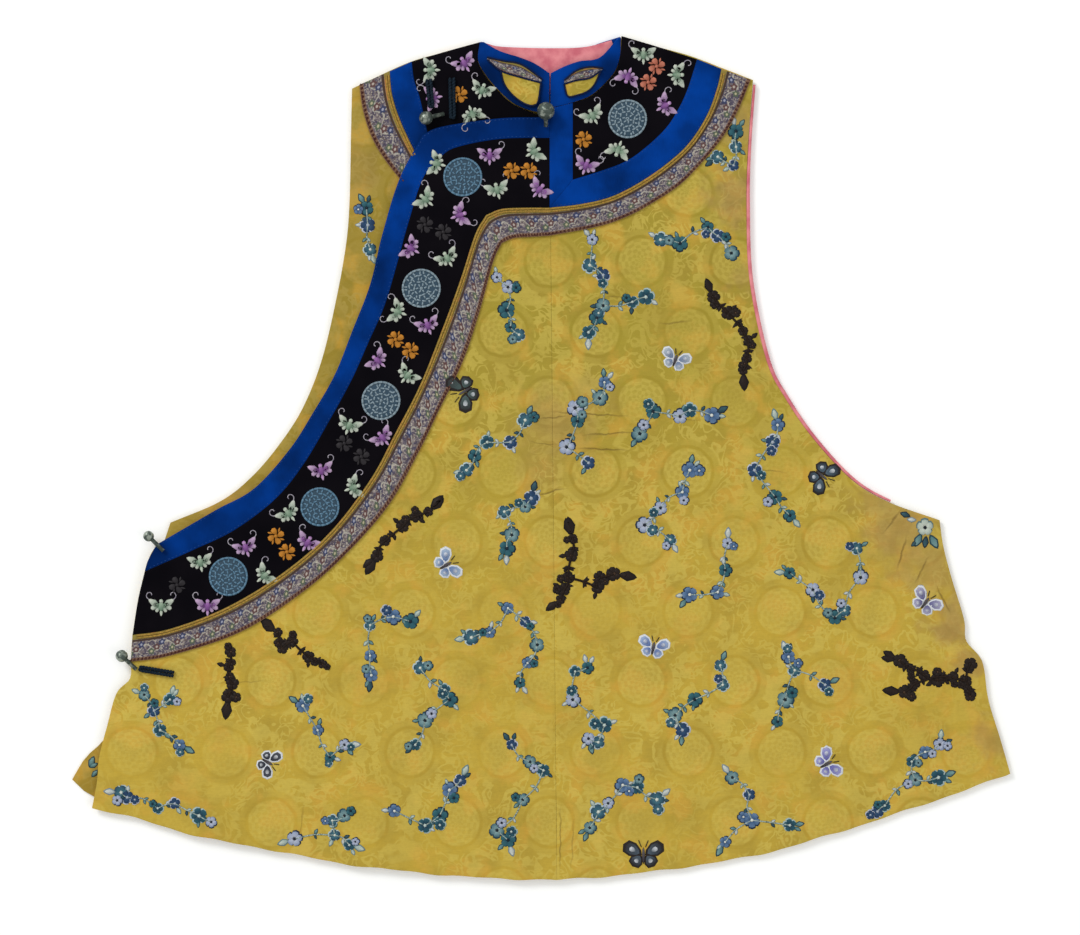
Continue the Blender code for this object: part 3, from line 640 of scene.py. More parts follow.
# The front is two widths of damask with a seam down the centre. The left one crosses over to
# the side and has a slit at its foot. Both lie in low folds, with short creases where the
# wearer's arms and seat have pressed them, most of them level and above the middle.
CENTRE_X = 7.0
NECK_HEAD_Y = 286.0
OVERLAP_HEAD_Y = 279.0
STEP_END_X = 70.0
TUCK_END_X = 40.0
TUCK_START_Y = 188.0
TUCK_END_Y = 221.0
SEAT = 0.4
TRIM = 1.0
FRONT_LOWEST = -0.25
SEAM_FOOT = Vector((13.0, -346.0))
NECK_RIGHT = [
    Cut(7, 286), Cut(24, 290), Cut(40, 296), Cut(52, 306), Cut(61, 317), Cut(65, 330),
    Cut(66, 346),
]
ARMHOLE_RIGHT = [
    Cut(174, 310), Cut(170, 258), Cut(168.5, 210), Cut(171, 146), Cut(185, 80), Cut(201, 48),
    Cut(224, 15), Cut(255, -18), Cut(285, -36), Cut(327, -51),
]
SIDE_RIGHT = [
    Cut(327, -51), Cut(330, -72), Cut(337, -99), Cut(347, -132), Cut(349, -150),
    Cut(362, -167), Cut(367, -198), Cut(377, -231), Cut(385, -259),
]
FLAP_SIDE = [
    Cut(-336, -167), Cut(-337, -181), Cut(-348, -193), Cut(-356, -221), Cut(-362, -245),
    Cut(-364, -266), Cut(-368, -287),
]
HEM_LEFT = [
    Cut(-368, -287), Cut(-337, -294), Cut(-280, -310), Cut(-222, -321), Cut(-165, -332),
    Cut(-107, -339), Cut(-50, -344), Cut(13, -346),
]
HEM_RIGHT = [
    Cut(13, -346), Cut(65, -342), Cut(122, -335), Cut(180, -325), Cut(237, -309),
    Cut(294, -291), Cut(352, -271), Cut(385, -259),
]
EDGE_RISE = [
    Cut(-315, -71), Cut(-267, -43), Cut(-235, -25), Cut(-206, 7), Cut(-188, 35),
    Cut(-169, 68), Cut(-155, 103), Cut(-140, 142), Cut(-130, 183), Cut(-116, 228),
    Cut(-97, 264),
]
EDGE_TOP = [Cut(-97, 264), Cut(-82, 271), Cut(-34, 278), Cut(7, 279)]
EDGE_SIDE = [Cut(-315, -71), Cut(-322, -84), Cut(-330, -116), Cut(-335, -149), Cut(-336, -167)]
FOLDS = [
    Crease(x=-250, y=-262, turn=74, length=150, width=34, height=2.4),
    Crease(x=-128, y=-285, turn=86, length=130, width=30, height=1.7),
    Crease(x=72, y=-280, turn=94, length=150, width=36, height=2.2),
    Crease(x=196, y=-236, turn=106, length=170, width=34, height=2.5),
    Crease(x=302, y=-190, turn=118, length=110, width=30, height=1.8),
    Crease(x=60, y=30, turn=8, length=150, width=34, height=1.6),
    Crease(x=205, y=-40, turn=138, length=130, width=30, height=2.2),
    Crease(x=118, y=150, turn=72, length=130, width=34, height=1.6),
    Crease(x=-35, y=-120, turn=66, length=150, width=36, height=1.6),
]
FRONT_CREASES = [
    Crease(x=25, y=75, turn=4, length=46, width=3.6, height=0.85),
    Crease(x=50, y=34, turn=-4, length=52, width=3.6, height=1),
    Crease(x=46, y=9, turn=3, length=60, width=3.6, height=1.2),
    Crease(x=52, y=-7, turn=-6, length=46, width=3.6, height=0.85),
    Crease(x=20, y=-28, turn=5, length=40, width=3.6, height=0.85),
    Crease(x=6, y=38, turn=10, length=36, width=3.6, height=0.68),
    Crease(x=2, y=14, turn=-8, length=34, width=3.6, height=0.77),
    Crease(x=12, y=-16, turn=6, length=44, width=3.6, height=0.77),
    Crease(x=-34, y=54, turn=-12, length=40, width=3.6, height=0.68),
    Crease(x=114, y=112, turn=6, length=40, width=3.6, height=1),
    Crease(x=96, y=92, turn=-3, length=62, width=4.4, height=0.85),
    Crease(x=140, y=64, turn=-14, length=54, width=4, height=0.85),
    Crease(x=160, y=18, turn=-34, length=60, width=4.6, height=1.2),
    Crease(x=192, y=-12, turn=-42, length=72, width=5, height=1.4),
    Crease(x=228, y=-48, turn=-38, length=70, width=5, height=1.2),
    Crease(x=276, y=-78, turn=-52, length=52, width=4, height=1.2),
    Crease(x=310, y=-112, turn=-66, length=54, width=3.6, height=1.2),
    Crease(x=334, y=-146, turn=-72, length=44, width=3.6, height=1),
    Crease(x=130, y=146, turn=82, length=54, width=4.6, height=0.85),
    Crease(x=66, y=140, turn=12, length=60, width=4.6, height=0.85),
    Crease(x=24, y=126, turn=-6, length=50, width=4, height=0.68),
    Crease(x=-10, y=150, turn=8, length=46, width=3.6, height=0.68),
    Crease(x=-96, y=-118, turn=24, length=84, width=6, height=1),
    Crease(x=-180, y=-150, turn=14, length=80, width=6, height=1),
    Crease(x=-226, y=-206, turn=70, length=92, width=6, height=1.4),
    Crease(x=-300, y=-236, turn=78, length=70, width=5, height=1.4),
    Crease(x=-128, y=-246, turn=98, length=92, width=6.4, height=1.2),
    Crease(x=-44, y=-282, turn=84, length=80, width=6, height=1.2),
    Crease(x=30, y=-296, turn=92, length=72, width=5.6, height=1.2),
    Crease(x=118, y=-262, turn=100, length=96, width=6.4, height=1.4),
    Crease(x=236, y=-246, turn=112, length=84, width=6, height=1.4),
    Crease(x=330, y=-228, turn=120, length=60, width=5, height=1.2),
    Crease(x=100, y=-130, turn=-10, length=110, width=7, height=1),
    Crease(x=-10, y=-190, turn=-4, length=96, width=7, height=0.85),
    Crease(x=200, y=-152, turn=-22, length=90, width=6.4, height=1),
    Crease(x=152, y=206, turn=74, length=44, width=3.8, height=0.85),
    Crease(x=-340, y=-214, turn=66, length=34, width=3.6, height=0.85),
]


def front_base(x, y):
    """The front lies on the back, or on the under front and its satin."""
    on_under_front = 1.0 - smoothstep(UNDER_INNER_X + 4.0, STEP_END_X, x)
    on_satin = smoothstep(TUCK_START_Y, TUCK_END_Y, y)
    on_satin *= 1.0 - smoothstep(UNDER_INNER_X, TUCK_END_X, x)
    return BACK_TOP + GAP + on_under_front * (CLOTH + GAP) + on_satin * (SEAT + TRIM)


def front_height(x, y):
    """The front's underside, in mm, with its folds and creases."""
    lift = 0.0
    for fold in FOLDS:
        along, across = within(fold, x, y)
        lift += fold.height * math.exp(-along * along - across * across)
    return front_base(x, y) + max(lift + creased(FRONT_CREASES, x, y), FRONT_LOWEST)


def front_top(x, y):
    return front_height(x, y) + CLOTH


overlap = sew_panel(
    "silk_front_overlap",
    (
        line_through(EDGE_TOP, 100),
        uneven(line_through(HEM_LEFT, 100)),
        edge_of((EDGE_RISE[::-1], 126), (EDGE_SIDE, 28), (FLAP_SIDE, 46)),
        straight(Vector((CENTRE_X, OVERLAP_HEAD_Y)), SEAM_FOOT, 200),
    ),
    front_height, CLOTH, ROUND_RIM, yellow, "damask", "front_overlap_width",
)
plain = sew_panel(
    "silk_front_plain",
    (
        edge_of((NECK_RIGHT, 50), (SHOULDER_RIGHT, 54)),
        uneven(line_through(HEM_RIGHT, 104)),
        straight(Vector((CENTRE_X, NECK_HEAD_Y)), SEAM_FOOT, 200),
        edge_of((ARMHOLE_RIGHT, 132), (SIDE_RIGHT, 68)),
    ),
    front_height, CLOTH, ROUND_RIM, yellow, "damask", "front_plain_width",
)

# Three borders follow the overlap's edge from the side up to the neck: a bias band of plain
# blue satin, a wide border of black satin, and a woven ribbon that goes on round the yoke.
BORDER_RIM = 0.2
RIBBON_WIDTH = 22.0
VINE_STEP = 17.0
# Painted shade on the satin: soft dark patches where shade falls, by the collar's edges, across the
# border under the neck, at the blue band's end beside the underarm ball, and along the left of the
# border.
SHADES = [
    StainOrShade(x=-30, y=272, reach=50, strength=0.6),
    StainOrShade(x=-88, y=262, reach=34, strength=0.6),
    StainOrShade(x=-318, y=-86, reach=30, strength=0.7),
    StainOrShade(x=-8, y=296, reach=26, strength=0.6),
    StainOrShade(x=-40, y=310, reach=24, strength=0.5),
    StainOrShade(x=-116, y=286, reach=24, strength=0.4),
    StainOrShade(x=-180, y=20, reach=60, strength=0.35),
    StainOrShade(x=-250, y=-70, reach=70, strength=0.35),
    StainOrShade(x=-138, y=130, reach=80, strength=0.35),
    StainOrShade(x=-46, y=314, reach=18, strength=0.75),
    StainOrShade(x=60, y=318, reach=18, strength=0.6),
]
BAND_RISE = [
    Cut(-324.6, -93), Cut(-284, -75), Cut(-251, -59), Cut(-218, -34), Cut(-195, -6),
    Cut(-173, 31), Cut(-155, 64), Cut(-142, 93), Cut(-128, 125), Cut(-117, 162),
    Cut(-109, 191), Cut(-97, 228), Cut(-84, 245),
]
BAND_TOP = [Cut(-84, 245), Cut(-70, 254), Cut(-34, 261), Cut(7, 262)]
RIBBON_INNER_RISE = [
    Cut(-334.6, -145), Cut(-304, -140), Cut(-259, -123), Cut(-214, -96), Cut(-173, -61),
    Cut(-140, -18), Cut(-120, 19), Cut(-99, 60), Cut(-81, 105), Cut(-66, 146),
    Cut(-54, 183), Cut(-45, 199),
]
RIBBON_INNER_TOP = [Cut(-45, 199), Cut(-32, 204), Cut(-12, 205), Cut(7, 205)]
RIBBON_OUTER_RISE = [
    Cut(-336, -167), Cut(-304, -162), Cut(-247, -143), Cut(-198, -112), Cut(-161, -80),
    Cut(-125, -39), Cut(-99, 7), Cut(-84, 38), Cut(-64, 79), Cut(-50, 121), Cut(-39, 161),
    Cut(-32, 176),
]
RIBBON_OUTER_TOP = [Cut(-32, 176), Cut(-22, 180), Cut(-8, 181), Cut(7, 182)]
RIBBON_INNER_YOKE = [
    Cut(7, 205), Cut(32, 208), Cut(57, 214), Cut(81, 226), Cut(104, 242), Cut(122, 259),
    Cut(136, 281), Cut(144, 302), Cut(148, 319),
]
RIBBON_OUTER_YOKE = [
    Cut(7, 182), Cut(48, 190), Cut(73, 199), Cut(93, 210), Cut(114, 224), Cut(130, 240),
    Cut(143, 255), Cut(153, 269), Cut(163, 288), Cut(172, 310),
]


def on_front(x, y):
    return front_top(x, y) + SEAT


def lay_border(name, first, second, across, under, material, slot, node, side=None):
    """A border between two lines that have the same number of points."""
    left = line_through(side, across) if side else straight(first[0], second[0], across)
    right = straight(first[-1], second[-1], across)
    piece = lay_cloth(name, first, second, left, right, under, TRIM, BORDER_RIM)
    wear(piece, material, slot, node)
    middle = [(here + there) / 2 for here, there in zip(first, second)]
    length = walked(middle)[-1]
    width = sum((there - here).length for here, there in zip(first, second)) / len(first)
    return piece


def weave_satin(name, deep, bright, shine):
    """Plain silk satin: its colour is a painted sheen in soft random patches from deep to bright, and
    painted shade darkens it in places.
    """
    cloth, shader, place = start_material(name, specular=0.02)
    thread = place.mapped(Scale=(1.4, 0.16, 1.0)).cloud(1.0, detail=2.0)
    tone = place.cloud(38.0, detail=3.0).rise(0.3, 0.7) * 0.6 + thread * 0.2 + 0.2
    x, y = split(place)
    # Painted shade: the satin is darkened round each of the shades.
    for shade in SHADES:
        near = 1.0 - distance(x - shade.x, y - shade.y).rise(shade.reach * 0.3, shade.reach)
        tone = tone * (1.0 - near * shade.strength)
    relief = place.cloud(9.0, detail=3.0) * 0.25 + thread * 0.03
    finish_material(shader, tone.blend(deep, bright), shine + thread * 0.1, relief)
    return cloth


def weave_ribbon(name):
    """Grey-lilac brocade ribbon: flowers in turn on a pale vine, between darker edges."""
    cloth, shader, place = start_material(name, specular=0.08)
    along, share = split(place.node("ShaderNodeUVMap", {"uv_map": "lie"}))
    run = along / MM + place.cloud(6.0) * 1.2
    down = share * RIBBON_WIDTH + place.cloud(5.0) * 1.0
    weft = place.cloud(2.4, detail=2.0).rise(0.35, 0.65)
    colour = weft.blend(colour_of(92, 82, 82), colour_of(136, 126, 126))
    scroll = place.cloud(7.5, detail=1.0, twist=1.6).band(0.5, 0.05, 0.03) * 0.75
    colour = scroll.blend(colour, colour_of(62, 58, 82))
    fleck = place.cloud(1.5, detail=1.0).rise(0.56, 0.64) * 0.6
    colour = fleck.blend(colour, colour_of(190, 182, 164))
    sway = (run * (2 * math.pi / VINE_STEP)).maths("SINE")
    vine = (down - 12.6 - sway * 3.0).band(0.0, 0.35, 0.5) * 0.6
    colour = vine.blend(colour, colour_of(188, 184, 168))
    for start, middle, outer, inner in (
        (0.0, 9.4, colour_of(58, 64, 92), colour_of(150, 152, 168)),
        (VINE_STEP / 2, 15.8, colour_of(84, 94, 78), colour_of(170, 164, 132)),
        (VINE_STEP / 4, 12.8, colour_of(92, 66, 64), colour_of(172, 160, 150)),
    ):
        aside = (run + start).maths("FLOORED_MODULO", VINE_STEP) - VINE_STEP / 2
        off = down - middle
        away = distance(aside, off)
        petals = away + (off.maths("ARCTAN2", aside) * 5.0).maths("SINE") * 0.5
        colour = (1.0 - petals.rise(2.1, 2.7)).blend(colour, outer)
        colour = (1.0 - away.rise(0.7, 1.2)).blend(colour, inner)
    worn = place.cloud(8.0, detail=2.0).rise(0.5, 0.62)
    gold = worn.blend(colour_of(138, 122, 60), colour_of(176, 124, 66))
    colour = share.band(0.09, 0.095, 0.01).blend(colour, gold)
    colour = share.band(0.235, 0.03, 0.015).blend(colour, colour_of(70, 54, 44))
    dots = share.band(0.93, 0.035, 0.02) * (run * 2.1).maths("SINE").rise(-0.4, 0.3)
    colour = share.rise(0.84, 0.9).blend(colour, colour_of(122, 92, 72))
    colour = dots.blend(colour, colour_of(66, 34, 32))
    relief = place.cloud(1.6, detail=1.0) * 0.16 + dots * 0.1
    finish_material(shader, colour, place.cloud(2.2) * 0.2 + 0.5, relief)
    return cloth


blue = weave_satin("blue_silk_satin", colour_of(1, 22, 60), colour_of(2, 62, 152), 0.5)
black = weave_satin("black_silk_satin", colour_of(6, 5, 9), colour_of(15, 12, 17), 0.48)
brocade = weave_ribbon("brocade_ribbon")

edge_line, band_line, inner_line, outer_line = (
    edge_of((rise, 150), (top, 26))
    for rise, top in (
        (EDGE_RISE, EDGE_TOP),
        (BAND_RISE, BAND_TOP),
        (RIBBON_INNER_RISE, RIBBON_INNER_TOP),
        (RIBBON_OUTER_RISE, RIBBON_OUTER_TOP),
    )
)
inner_yoke = line_through(RIBBON_INNER_YOKE, 60)
outer_yoke = line_through(RIBBON_OUTER_YOKE, 60)
ribbon_inner = joined(inner_line, inner_yoke)
ribbon_outer = joined(outer_line, outer_yoke)
lay_border(
    "overlap_band", edge_line, band_line, 6, on_front, blue, "blue_satin", "band_overlap",
    side=[EDGE_RISE[0], EDGE_SIDE[1], BAND_RISE[0]],
)
overlap_satin = lay_border(
    "overlap_satin", band_line, inner_line, 16, on_front, black, "black_satin", "satin_overlap",
    side=[BAND_RISE[0], EDGE_SIDE[2], RIBBON_INNER_RISE[0]],
)
lay_border(
    "overlap_ribbon", ribbon_inner, ribbon_outer, 8, on_front, brocade, "ribbon", "ribbon_overlap",
)

# The yoke right of the centre has the same three cloths: a short blue band down the centre,
# a band that curves from it to the shoulder, and black satin between them and the neck.
BAND_HEAD_Y = 291.0
NECK_TRIM = 0.05
BAND_INNER_YOKE = [
    Cut(26, 228), Cut(48, 235), Cut(69, 243), Cut(85, 254), Cut(102, 270), Cut(112, 285),
    Cut(120, 302), Cut(128, 327),
]


def leftward(points, number):
    """The way straight to the left of a line at one of its points."""
    ahead = points[min(number + 1, len(points) - 1)]
    behind = points[max(number - 1, 0)]
    along = (ahead - behind).normalized()
    return Vector((-along.y, along.x))


def beside(points, reach):
    """The line that runs beside another, on its left hand."""
    return [point + leftward(points, number) * reach for number, point in enumerate(points)]


band_yoke = line_through(BAND_INNER_YOKE, 60)
centre_head = Vector((CENTRE_X, NECK_HEAD_Y))
centre_inner_head = Vector((band_yoke[0].x, BAND_HEAD_Y))
lay_border("yoke_band", band_yoke, inner_yoke, 6, on_front, blue, "blue_satin", "band_yoke")
lay_border(
    "centre_band",
    straight(centre_head, inner_yoke[0], 24),
    straight(centre_inner_head, band_yoke[0], 24),
    6, on_front, blue, "blue_satin", "band_centre",
)
yoke_satin = sew_panel(
    "yoke_satin",
    (
        beside(line_through([Cut(band_yoke[0].x, BAND_HEAD_Y), *NECK_RIGHT[2:]], 60), -NECK_TRIM),
        band_yoke,
        straight(centre_inner_head, band_yoke[0], 22),
        line_through([*SHOULDER_RIGHT[:2], BAND_INNER_YOKE[-1]], 22),
    ),
    on_front, TRIM, BORDER_RIM, black, "black_satin", "satin_yoke",
)

# The under front's shoulder has them once more, from the neck out to the armhole. They run
# in under the overlap's corner.
BAND_INNER_SHOULDER = [Cut(-106, 325), Cut(-104, 310), Cut(-99, 294), Cut(-92, 262)]
BAND_OUTER_SHOULDER = [Cut(-124, 317), Cut(-122, 298), Cut(-115, 276), Cut(-101, 246)]
RIBBON_OUTER_SHOULDER = [
    Cut(-149, 306), Cut(-147, 290), Cut(-143, 274), Cut(-137, 259), Cut(-127, 243),
    Cut(-112, 224),
]
SATIN_FOOT = [
    Cut(-92, 262), Cut(-50, 264), Cut(-20, 267.5), Cut(-8, 275.5), Cut(-1, 279.2),
    Cut(4.6, 279.8),
]


def on_under_front(x, y):
    return under_front_top(x, y) + SEAT


shoulder_inner = line_through(BAND_INNER_SHOULDER, 24)
shoulder_outer = line_through(BAND_OUTER_SHOULDER, 24)
shoulder_ribbon = line_through(RIBBON_OUTER_SHOULDER, 24)
lay_border(
    "shoulder_band", shoulder_inner, shoulder_outer, 6, on_under_front, blue, "blue_satin",
    "band_shoulder",
)
lay_border(
    "shoulder_ribbon", shoulder_outer, shoulder_ribbon, 8, on_under_front, brocade, "ribbon",
    "ribbon_shoulder",
)
shoulder_satin = sew_panel(
    "shoulder_satin",
    (
        line_through([BAND_INNER_SHOULDER[0], *SHOULDER_LEFT[-2:]], 30),
        line_through(SATIN_FOOT, 30),
        shoulder_inner,
        beside(line_through([*NECK_LEFT[:-1], SATIN_FOOT[-1]], 24), -NECK_TRIM),
    ),
    on_under_front, TRIM, BORDER_RIM, black, "black_satin", "satin_shoulder",
)

# The collar stands low round the neck. Its two front halves lean inwards from the neck seam,
# its back lies flat behind them, and the pink silk lining shows between.
COLLAR_WALL = 1.6
COLLAR_LEVEL = 6.6
COLLAR_SWELL = 0.6
COLLAR_REACH = 3.0
COLLAR_RIM = 0.6
COLLAR_EVENING = 40
NECK_TURN = 0.9
REAR_END = Vector((0.0, 0.5))
LINING_WALL = 0.8
RAY_HEIGHT = 0.1
COLLAR_TOP_LEFT = [Cut(-47, 341), Cut(-34, 333.5), Cut(-17, 328), Cut(-5, 323), Cut(7, 315)]
COLLAR_TOP_RIGHT = [Cut(8, 315), Cut(20, 321), Cut(32, 325), Cut(48, 328), Cut(63, 344)]
COLLAR_SEAM_LEFT = [*NECK_LEFT[:-1], Cut(6.5, 281)]
COLLAR_SEAM_RIGHT = [Cut(7.8, 286), *NECK_RIGHT[1:-1], Cut(65, 345)]
COLLAR_TOP_BACK = [
    Cut(-49, 342), Cut(-34, 337.5), Cut(7, 336), Cut(36, 337), Cut(49, 341), Cut(65, 346),
]
LINING_TOP = [Cut(-45, 340.4), Cut(-32, 337.6), Cut(7, 336.4), Cut(36, 337.4), Cut(58, 343)]
LINING_BOTTOM = [Cut(-30, 300), Cut(7, 298), Cut(44, 304)]
LINING_LEFT = [Cut(-45, 340.4), Cut(-48, 327), Cut(-42, 314), Cut(-30, 300)]
LINING_RIGHT = [Cut(58, 343), Cut(61, 330), Cut(56, 316), Cut(44, 304)]
LINING_CREASES = [
    Crease(x=-12, y=322, turn=62, length=26, width=2.4, height=0.5),
    Crease(x=14, y=320, turn=96, length=28, width=2.6, height=0.5),
    Crease(x=34, y=324, turn=118, length=24, width=2.2, height=0.4),
]


def trees_of(panels):
    """The pieces as they stand, ready for rays to meet them."""
    bpy.context.view_layer.update()
    graph = bpy.context.evaluated_depsgraph_get()
    return [BVHTree.FromObject(panel, graph) for panel in panels]


def met_below(trees, x, y):
    """The heights at which a ray from above meets the pieces, in mm."""
    above = Vector((x * MM, y * MM, RAY_HEIGHT))
    places = [tree.ray_cast(above, Vector((0, 0, -1)))[0] for tree in trees]
    return [place.z / MM for place in places if place]


def surface_of(*panels):
    """A function that gives the height of the pieces' upper side, here or just beside, in mm."""
    trees = trees_of(panels)

    def height(x, y):
        heights = met_below(trees, x, y)
        for reach in (1.2, 3.0, 6.0):
            if heights:
                break
            for aside, off in ((0, 0), (reach, 0), (-reach, 0), (0, reach), (0, -reach)):
                heights += met_below(trees, x + aside, y + off)
        return max(heights, default=BACK_TOP)

    return height


def covered_by(*panels):
    """A function that tells whether a place in mm lies over the pieces."""
    trees = trees_of(panels)
    return lambda x, y: bool(met_below(trees, x, y))


def dye_silk(name, deep, bright):
    """Thin plain silk, such as the pink lining, faded unevenly."""
    cloth, shader, place = start_material(name, specular=0.1)
    thread = place.cloud(0.7, detail=1.0)
    tone = place.cloud(12.0, detail=3.0).rise(0.3, 0.7) * 0.8 + thread * 0.2
    relief = place.cloud(6.0, detail=2.0) * 0.25 + thread * 0.04
    finish_material(shader, tone.blend(deep, bright), thread * 0.1 + 0.5, relief)
    return cloth


pink = dye_silk("pink_silk", colour_of(196, 98, 112), colour_of(232, 146, 150))

rear_seam = beside(line_through(NECK_BACK, 30), NECK_TURN)
rear_top = line_through(COLLAR_TOP_BACK, 30)
rear_seam[0] = rear_top[0] - REAR_END
rear_seam[-1] = rear_top[-1] - REAR_END
collar_rear = sew_panel(
    "collar_rear",
    (
        rear_top,
        rear_seam,
        straight(rear_top[0], rear_seam[0], 8),
        straight(rear_top[-1], rear_seam[-1], 8),
    ),
    lambda x, y: 0.0, COLLAR_WALL, COLLAR_RIM, blue, "blue_satin", "collar_back",
)
lining = sew_panel(
    "neck_silk",
    (
        line_through(LINING_TOP, 36),
        line_through(LINING_BOTTOM, 36),
        line_through(LINING_LEFT, 20),
        line_through(LINING_RIGHT, 20),
    ),
    lambda x, y: BACK_TOP + GAP + max(creased(LINING_CREASES, x, y), 0.0),
    LINING_WALL, BORDER_RIM, pink, "pink_lining", "neck_lining",
)


def raise_collar(name, top_cut, seam_cut, node, surface):
    """Half of the collar: it rises from the neck seam and rests its upper edge on the lining."""
    line = line_through(seam_cut, 56)
    seam = beside(line, NECK_TURN)
    top = line_through(top_cut, 56)
    beyond = zip(beside(line, -COLLAR_REACH), beside(line, -2 * COLLAR_REACH))
    feet = [max(surface(near.x, near.y), surface(far.x, far.y)) - COLLAR_WALL for near, far in beyond]
    for _ in range(COLLAR_EVENING):
        feet = [sum(three) / 3 for three in zip([feet[0], *feet[:-1]], feet, [*feet[1:], feet[-1]])]

    def height(x, y):
        place = Vector((x, y))
        to_top = min((place - point).length for point in top)
        near = min(range(len(seam)), key=lambda index: (place - seam[index]).length_squared)
        to_seam = (place - seam[near]).length
        share = to_seam / max(to_seam + to_top, 0.01)
        swell = COLLAR_SWELL * math.sin(math.pi * share)
        return feet[near] * (1.0 - share) + COLLAR_LEVEL * share + swell

    left = straight(top[0], seam[0], 12)
    right = straight(top[-1], seam[-1], 12)
    return sew_panel(
        name, (top, seam, left, right), height, COLLAR_WALL, COLLAR_RIM, blue, "blue_satin", node,
    )


laid = [
    bpy.data.objects[name]
    for name in (
        "silk_back", "silk_under_front", "silk_front_overlap", "silk_front_plain", "overlap_band",
        "overlap_satin", "overlap_ribbon", "yoke_band", "centre_band", "yoke_satin", "shoulder_band",
        "shoulder_ribbon", "shoulder_satin",
    )
]
neck_surface = surface_of(*laid)
collar_left = raise_collar(
    "collar_half_left", COLLAR_TOP_LEFT, COLLAR_SEAM_LEFT, "collar_left", neck_surface
)
collar_right = raise_collar(
    "collar_half_right", COLLAR_TOP_RIGHT, COLLAR_SEAM_RIGHT, "collar_right", neck_surface
)

# Each collar half has an eye let into it: a crescent of the brocade above, and a leaf of
# yellow silk below it. Both are sewn into an opening cut in the blue satin.
INSET_LEFT_UPPER = [Cut(-44, 328), Cut(-31, 325), Cut(-16, 322), Cut(1, 310)]
INSET_LEFT_MIDDLE = [Cut(-44, 326), Cut(-33, 317), Cut(-18, 312), Cut(0, 307)]
INSET_LEFT_LOWER = [Cut(-30, 306), Cut(-22, 296), Cut(-11, 289), Cut(-3, 290)]
INSET_RIGHT_UPPER = [Cut(19, 309), Cut(29, 317), Cut(40, 320), Cut(51, 319)]
INSET_RIGHT_MIDDLE = [Cut(19, 306), Cut(29, 309), Cut(40, 311), Cut(49, 317)]
INSET_RIGHT_LOWER = [Cut(22, 296), Cut(30, 297), Cut(38, 300), Cut(44, 306)]

collar_surface = surface_of(collar_left, collar_right)


def on_collar(x, y):
    return collar_surface(x, y) + SEAT


INSETS = (
    ("left_brocade", INSET_LEFT_UPPER, INSET_LEFT_MIDDLE, brocade, "ribbon", "left_ribbon"),
    ("left_silk", INSET_LEFT_MIDDLE[1:], INSET_LEFT_LOWER, yellow, "damask", "left_silk"),
    ("right_brocade", INSET_RIGHT_UPPER, INSET_RIGHT_MIDDLE, brocade, "ribbon", "right_ribbon"),
    ("right_silk", INSET_RIGHT_MIDDLE, INSET_RIGHT_LOWER, yellow, "damask", "right_silk"),
)
for name, upper, lower, material, slot, node in INSETS:
    upper_line = line_through(upper, 24)
    lower_line = line_through(lower, 24)
    ends = [straight(upper_line[end], lower_line[end], 6) for end in (0, -1)]
    sew_panel(
        f"eye_{name}", (upper_line, lower_line, *ends), on_collar, LINING_WALL, BORDER_RIM,
        material, slot, f"inset_{node}",
    )

# The pink lining is brought over the right armhole's edge as a narrow rolled piping. It is
# thin silk, slip-stitched down, and fullest at the armhole's middle.
PIPING_RADIUS = 1.0
PIPING_SWELL = 0.8


def sew_cord(name, runs, radius, material, slot, *nodes, swell=0.0):
    """Round cords along one or more lines of places in mm, fuller in the middle by a share."""
    curve = bpy.data.curves.new(name, "CURVE")
    curve.dimensions = "3D"
    curve.bevel_depth = radius * MM
    curve.bevel_resolution = 2
    curve.use_fill_caps = True
    for run in runs:
        spline = curve.splines.new("POLY")
        spline.points.add(len(run) - 1)
        for number, (target, place) in enumerate(zip(spline.points, run)):
            target.co = (*(Vector(place) * MM), 1.0)
            target.radius = 1.0 + swell * math.sin(math.pi * number / (len(run) - 1))
    piece = bpy.data.objects.new(name, curve)
    scene.collection.objects.link(piece)
    return wear(piece, material, slot, *nodes)


armhole_line = line_through(ARMHOLE_RIGHT, 120)[1:-12]
piping = [
    (there.x, there.y, front_top(here.x, here.y) - PIPING_RADIUS)
    for here, there in zip(
        beside(armhole_line, -2 * PIPING_RADIUS), beside(armhole_line, PIPING_RADIUS + SEAT)
    )
]
sew_cord(
    "armhole_roll", [piping], PIPING_RADIUS, pink, "pink_lining", "armhole_piping", swell=PIPING_SWELL
)

# Fine navy silk cords bind the eyes of the collar. They are sewn down round each eye, and over
# the seam between its two cloths.
BINDING_RADIUS = 0.75
BINDING_LIFT = 1.4


def dye_plain(name, deep, bright, roughness):
    """Thread of one colour, a little uneven."""
    floss, shader, place = start_material(name, specular=0.1)
    lines = place.cloud(1.2, detail=2.0)
    colour = lines.rise(0.3, 0.7).blend(deep, bright)
    finish_material(shader, colour, lines * 0.2 + roughness, lines * 0.1)
    return floss


def lying(line, surface, lift):
    """The places of a line in mm, some way above what it lies on."""
    return [(point.x, point.y, surface(point.x, point.y) + lift) for point in line]


navy_cord = dye_plain("navy_cord", colour_of(6, 14, 40), colour_of(12, 28, 66), 0.5)
bindings = []
for upper, middle, lower in (
    (INSET_LEFT_UPPER, INSET_LEFT_MIDDLE, INSET_LEFT_LOWER),
    (INSET_RIGHT_UPPER, INSET_RIGHT_MIDDLE, INSET_RIGHT_LOWER),
):
    silk_end = middle[1] if middle is INSET_LEFT_MIDDLE else middle[0]
    for line in (upper, middle, [silk_end, *lower, middle[-1]]):
        bindings.append(lying(line_through(line, 24), collar_surface, BINDING_LIFT))
sew_cord("eye_binding", bindings, BINDING_RADIUS, navy_cord, "blue_satin")

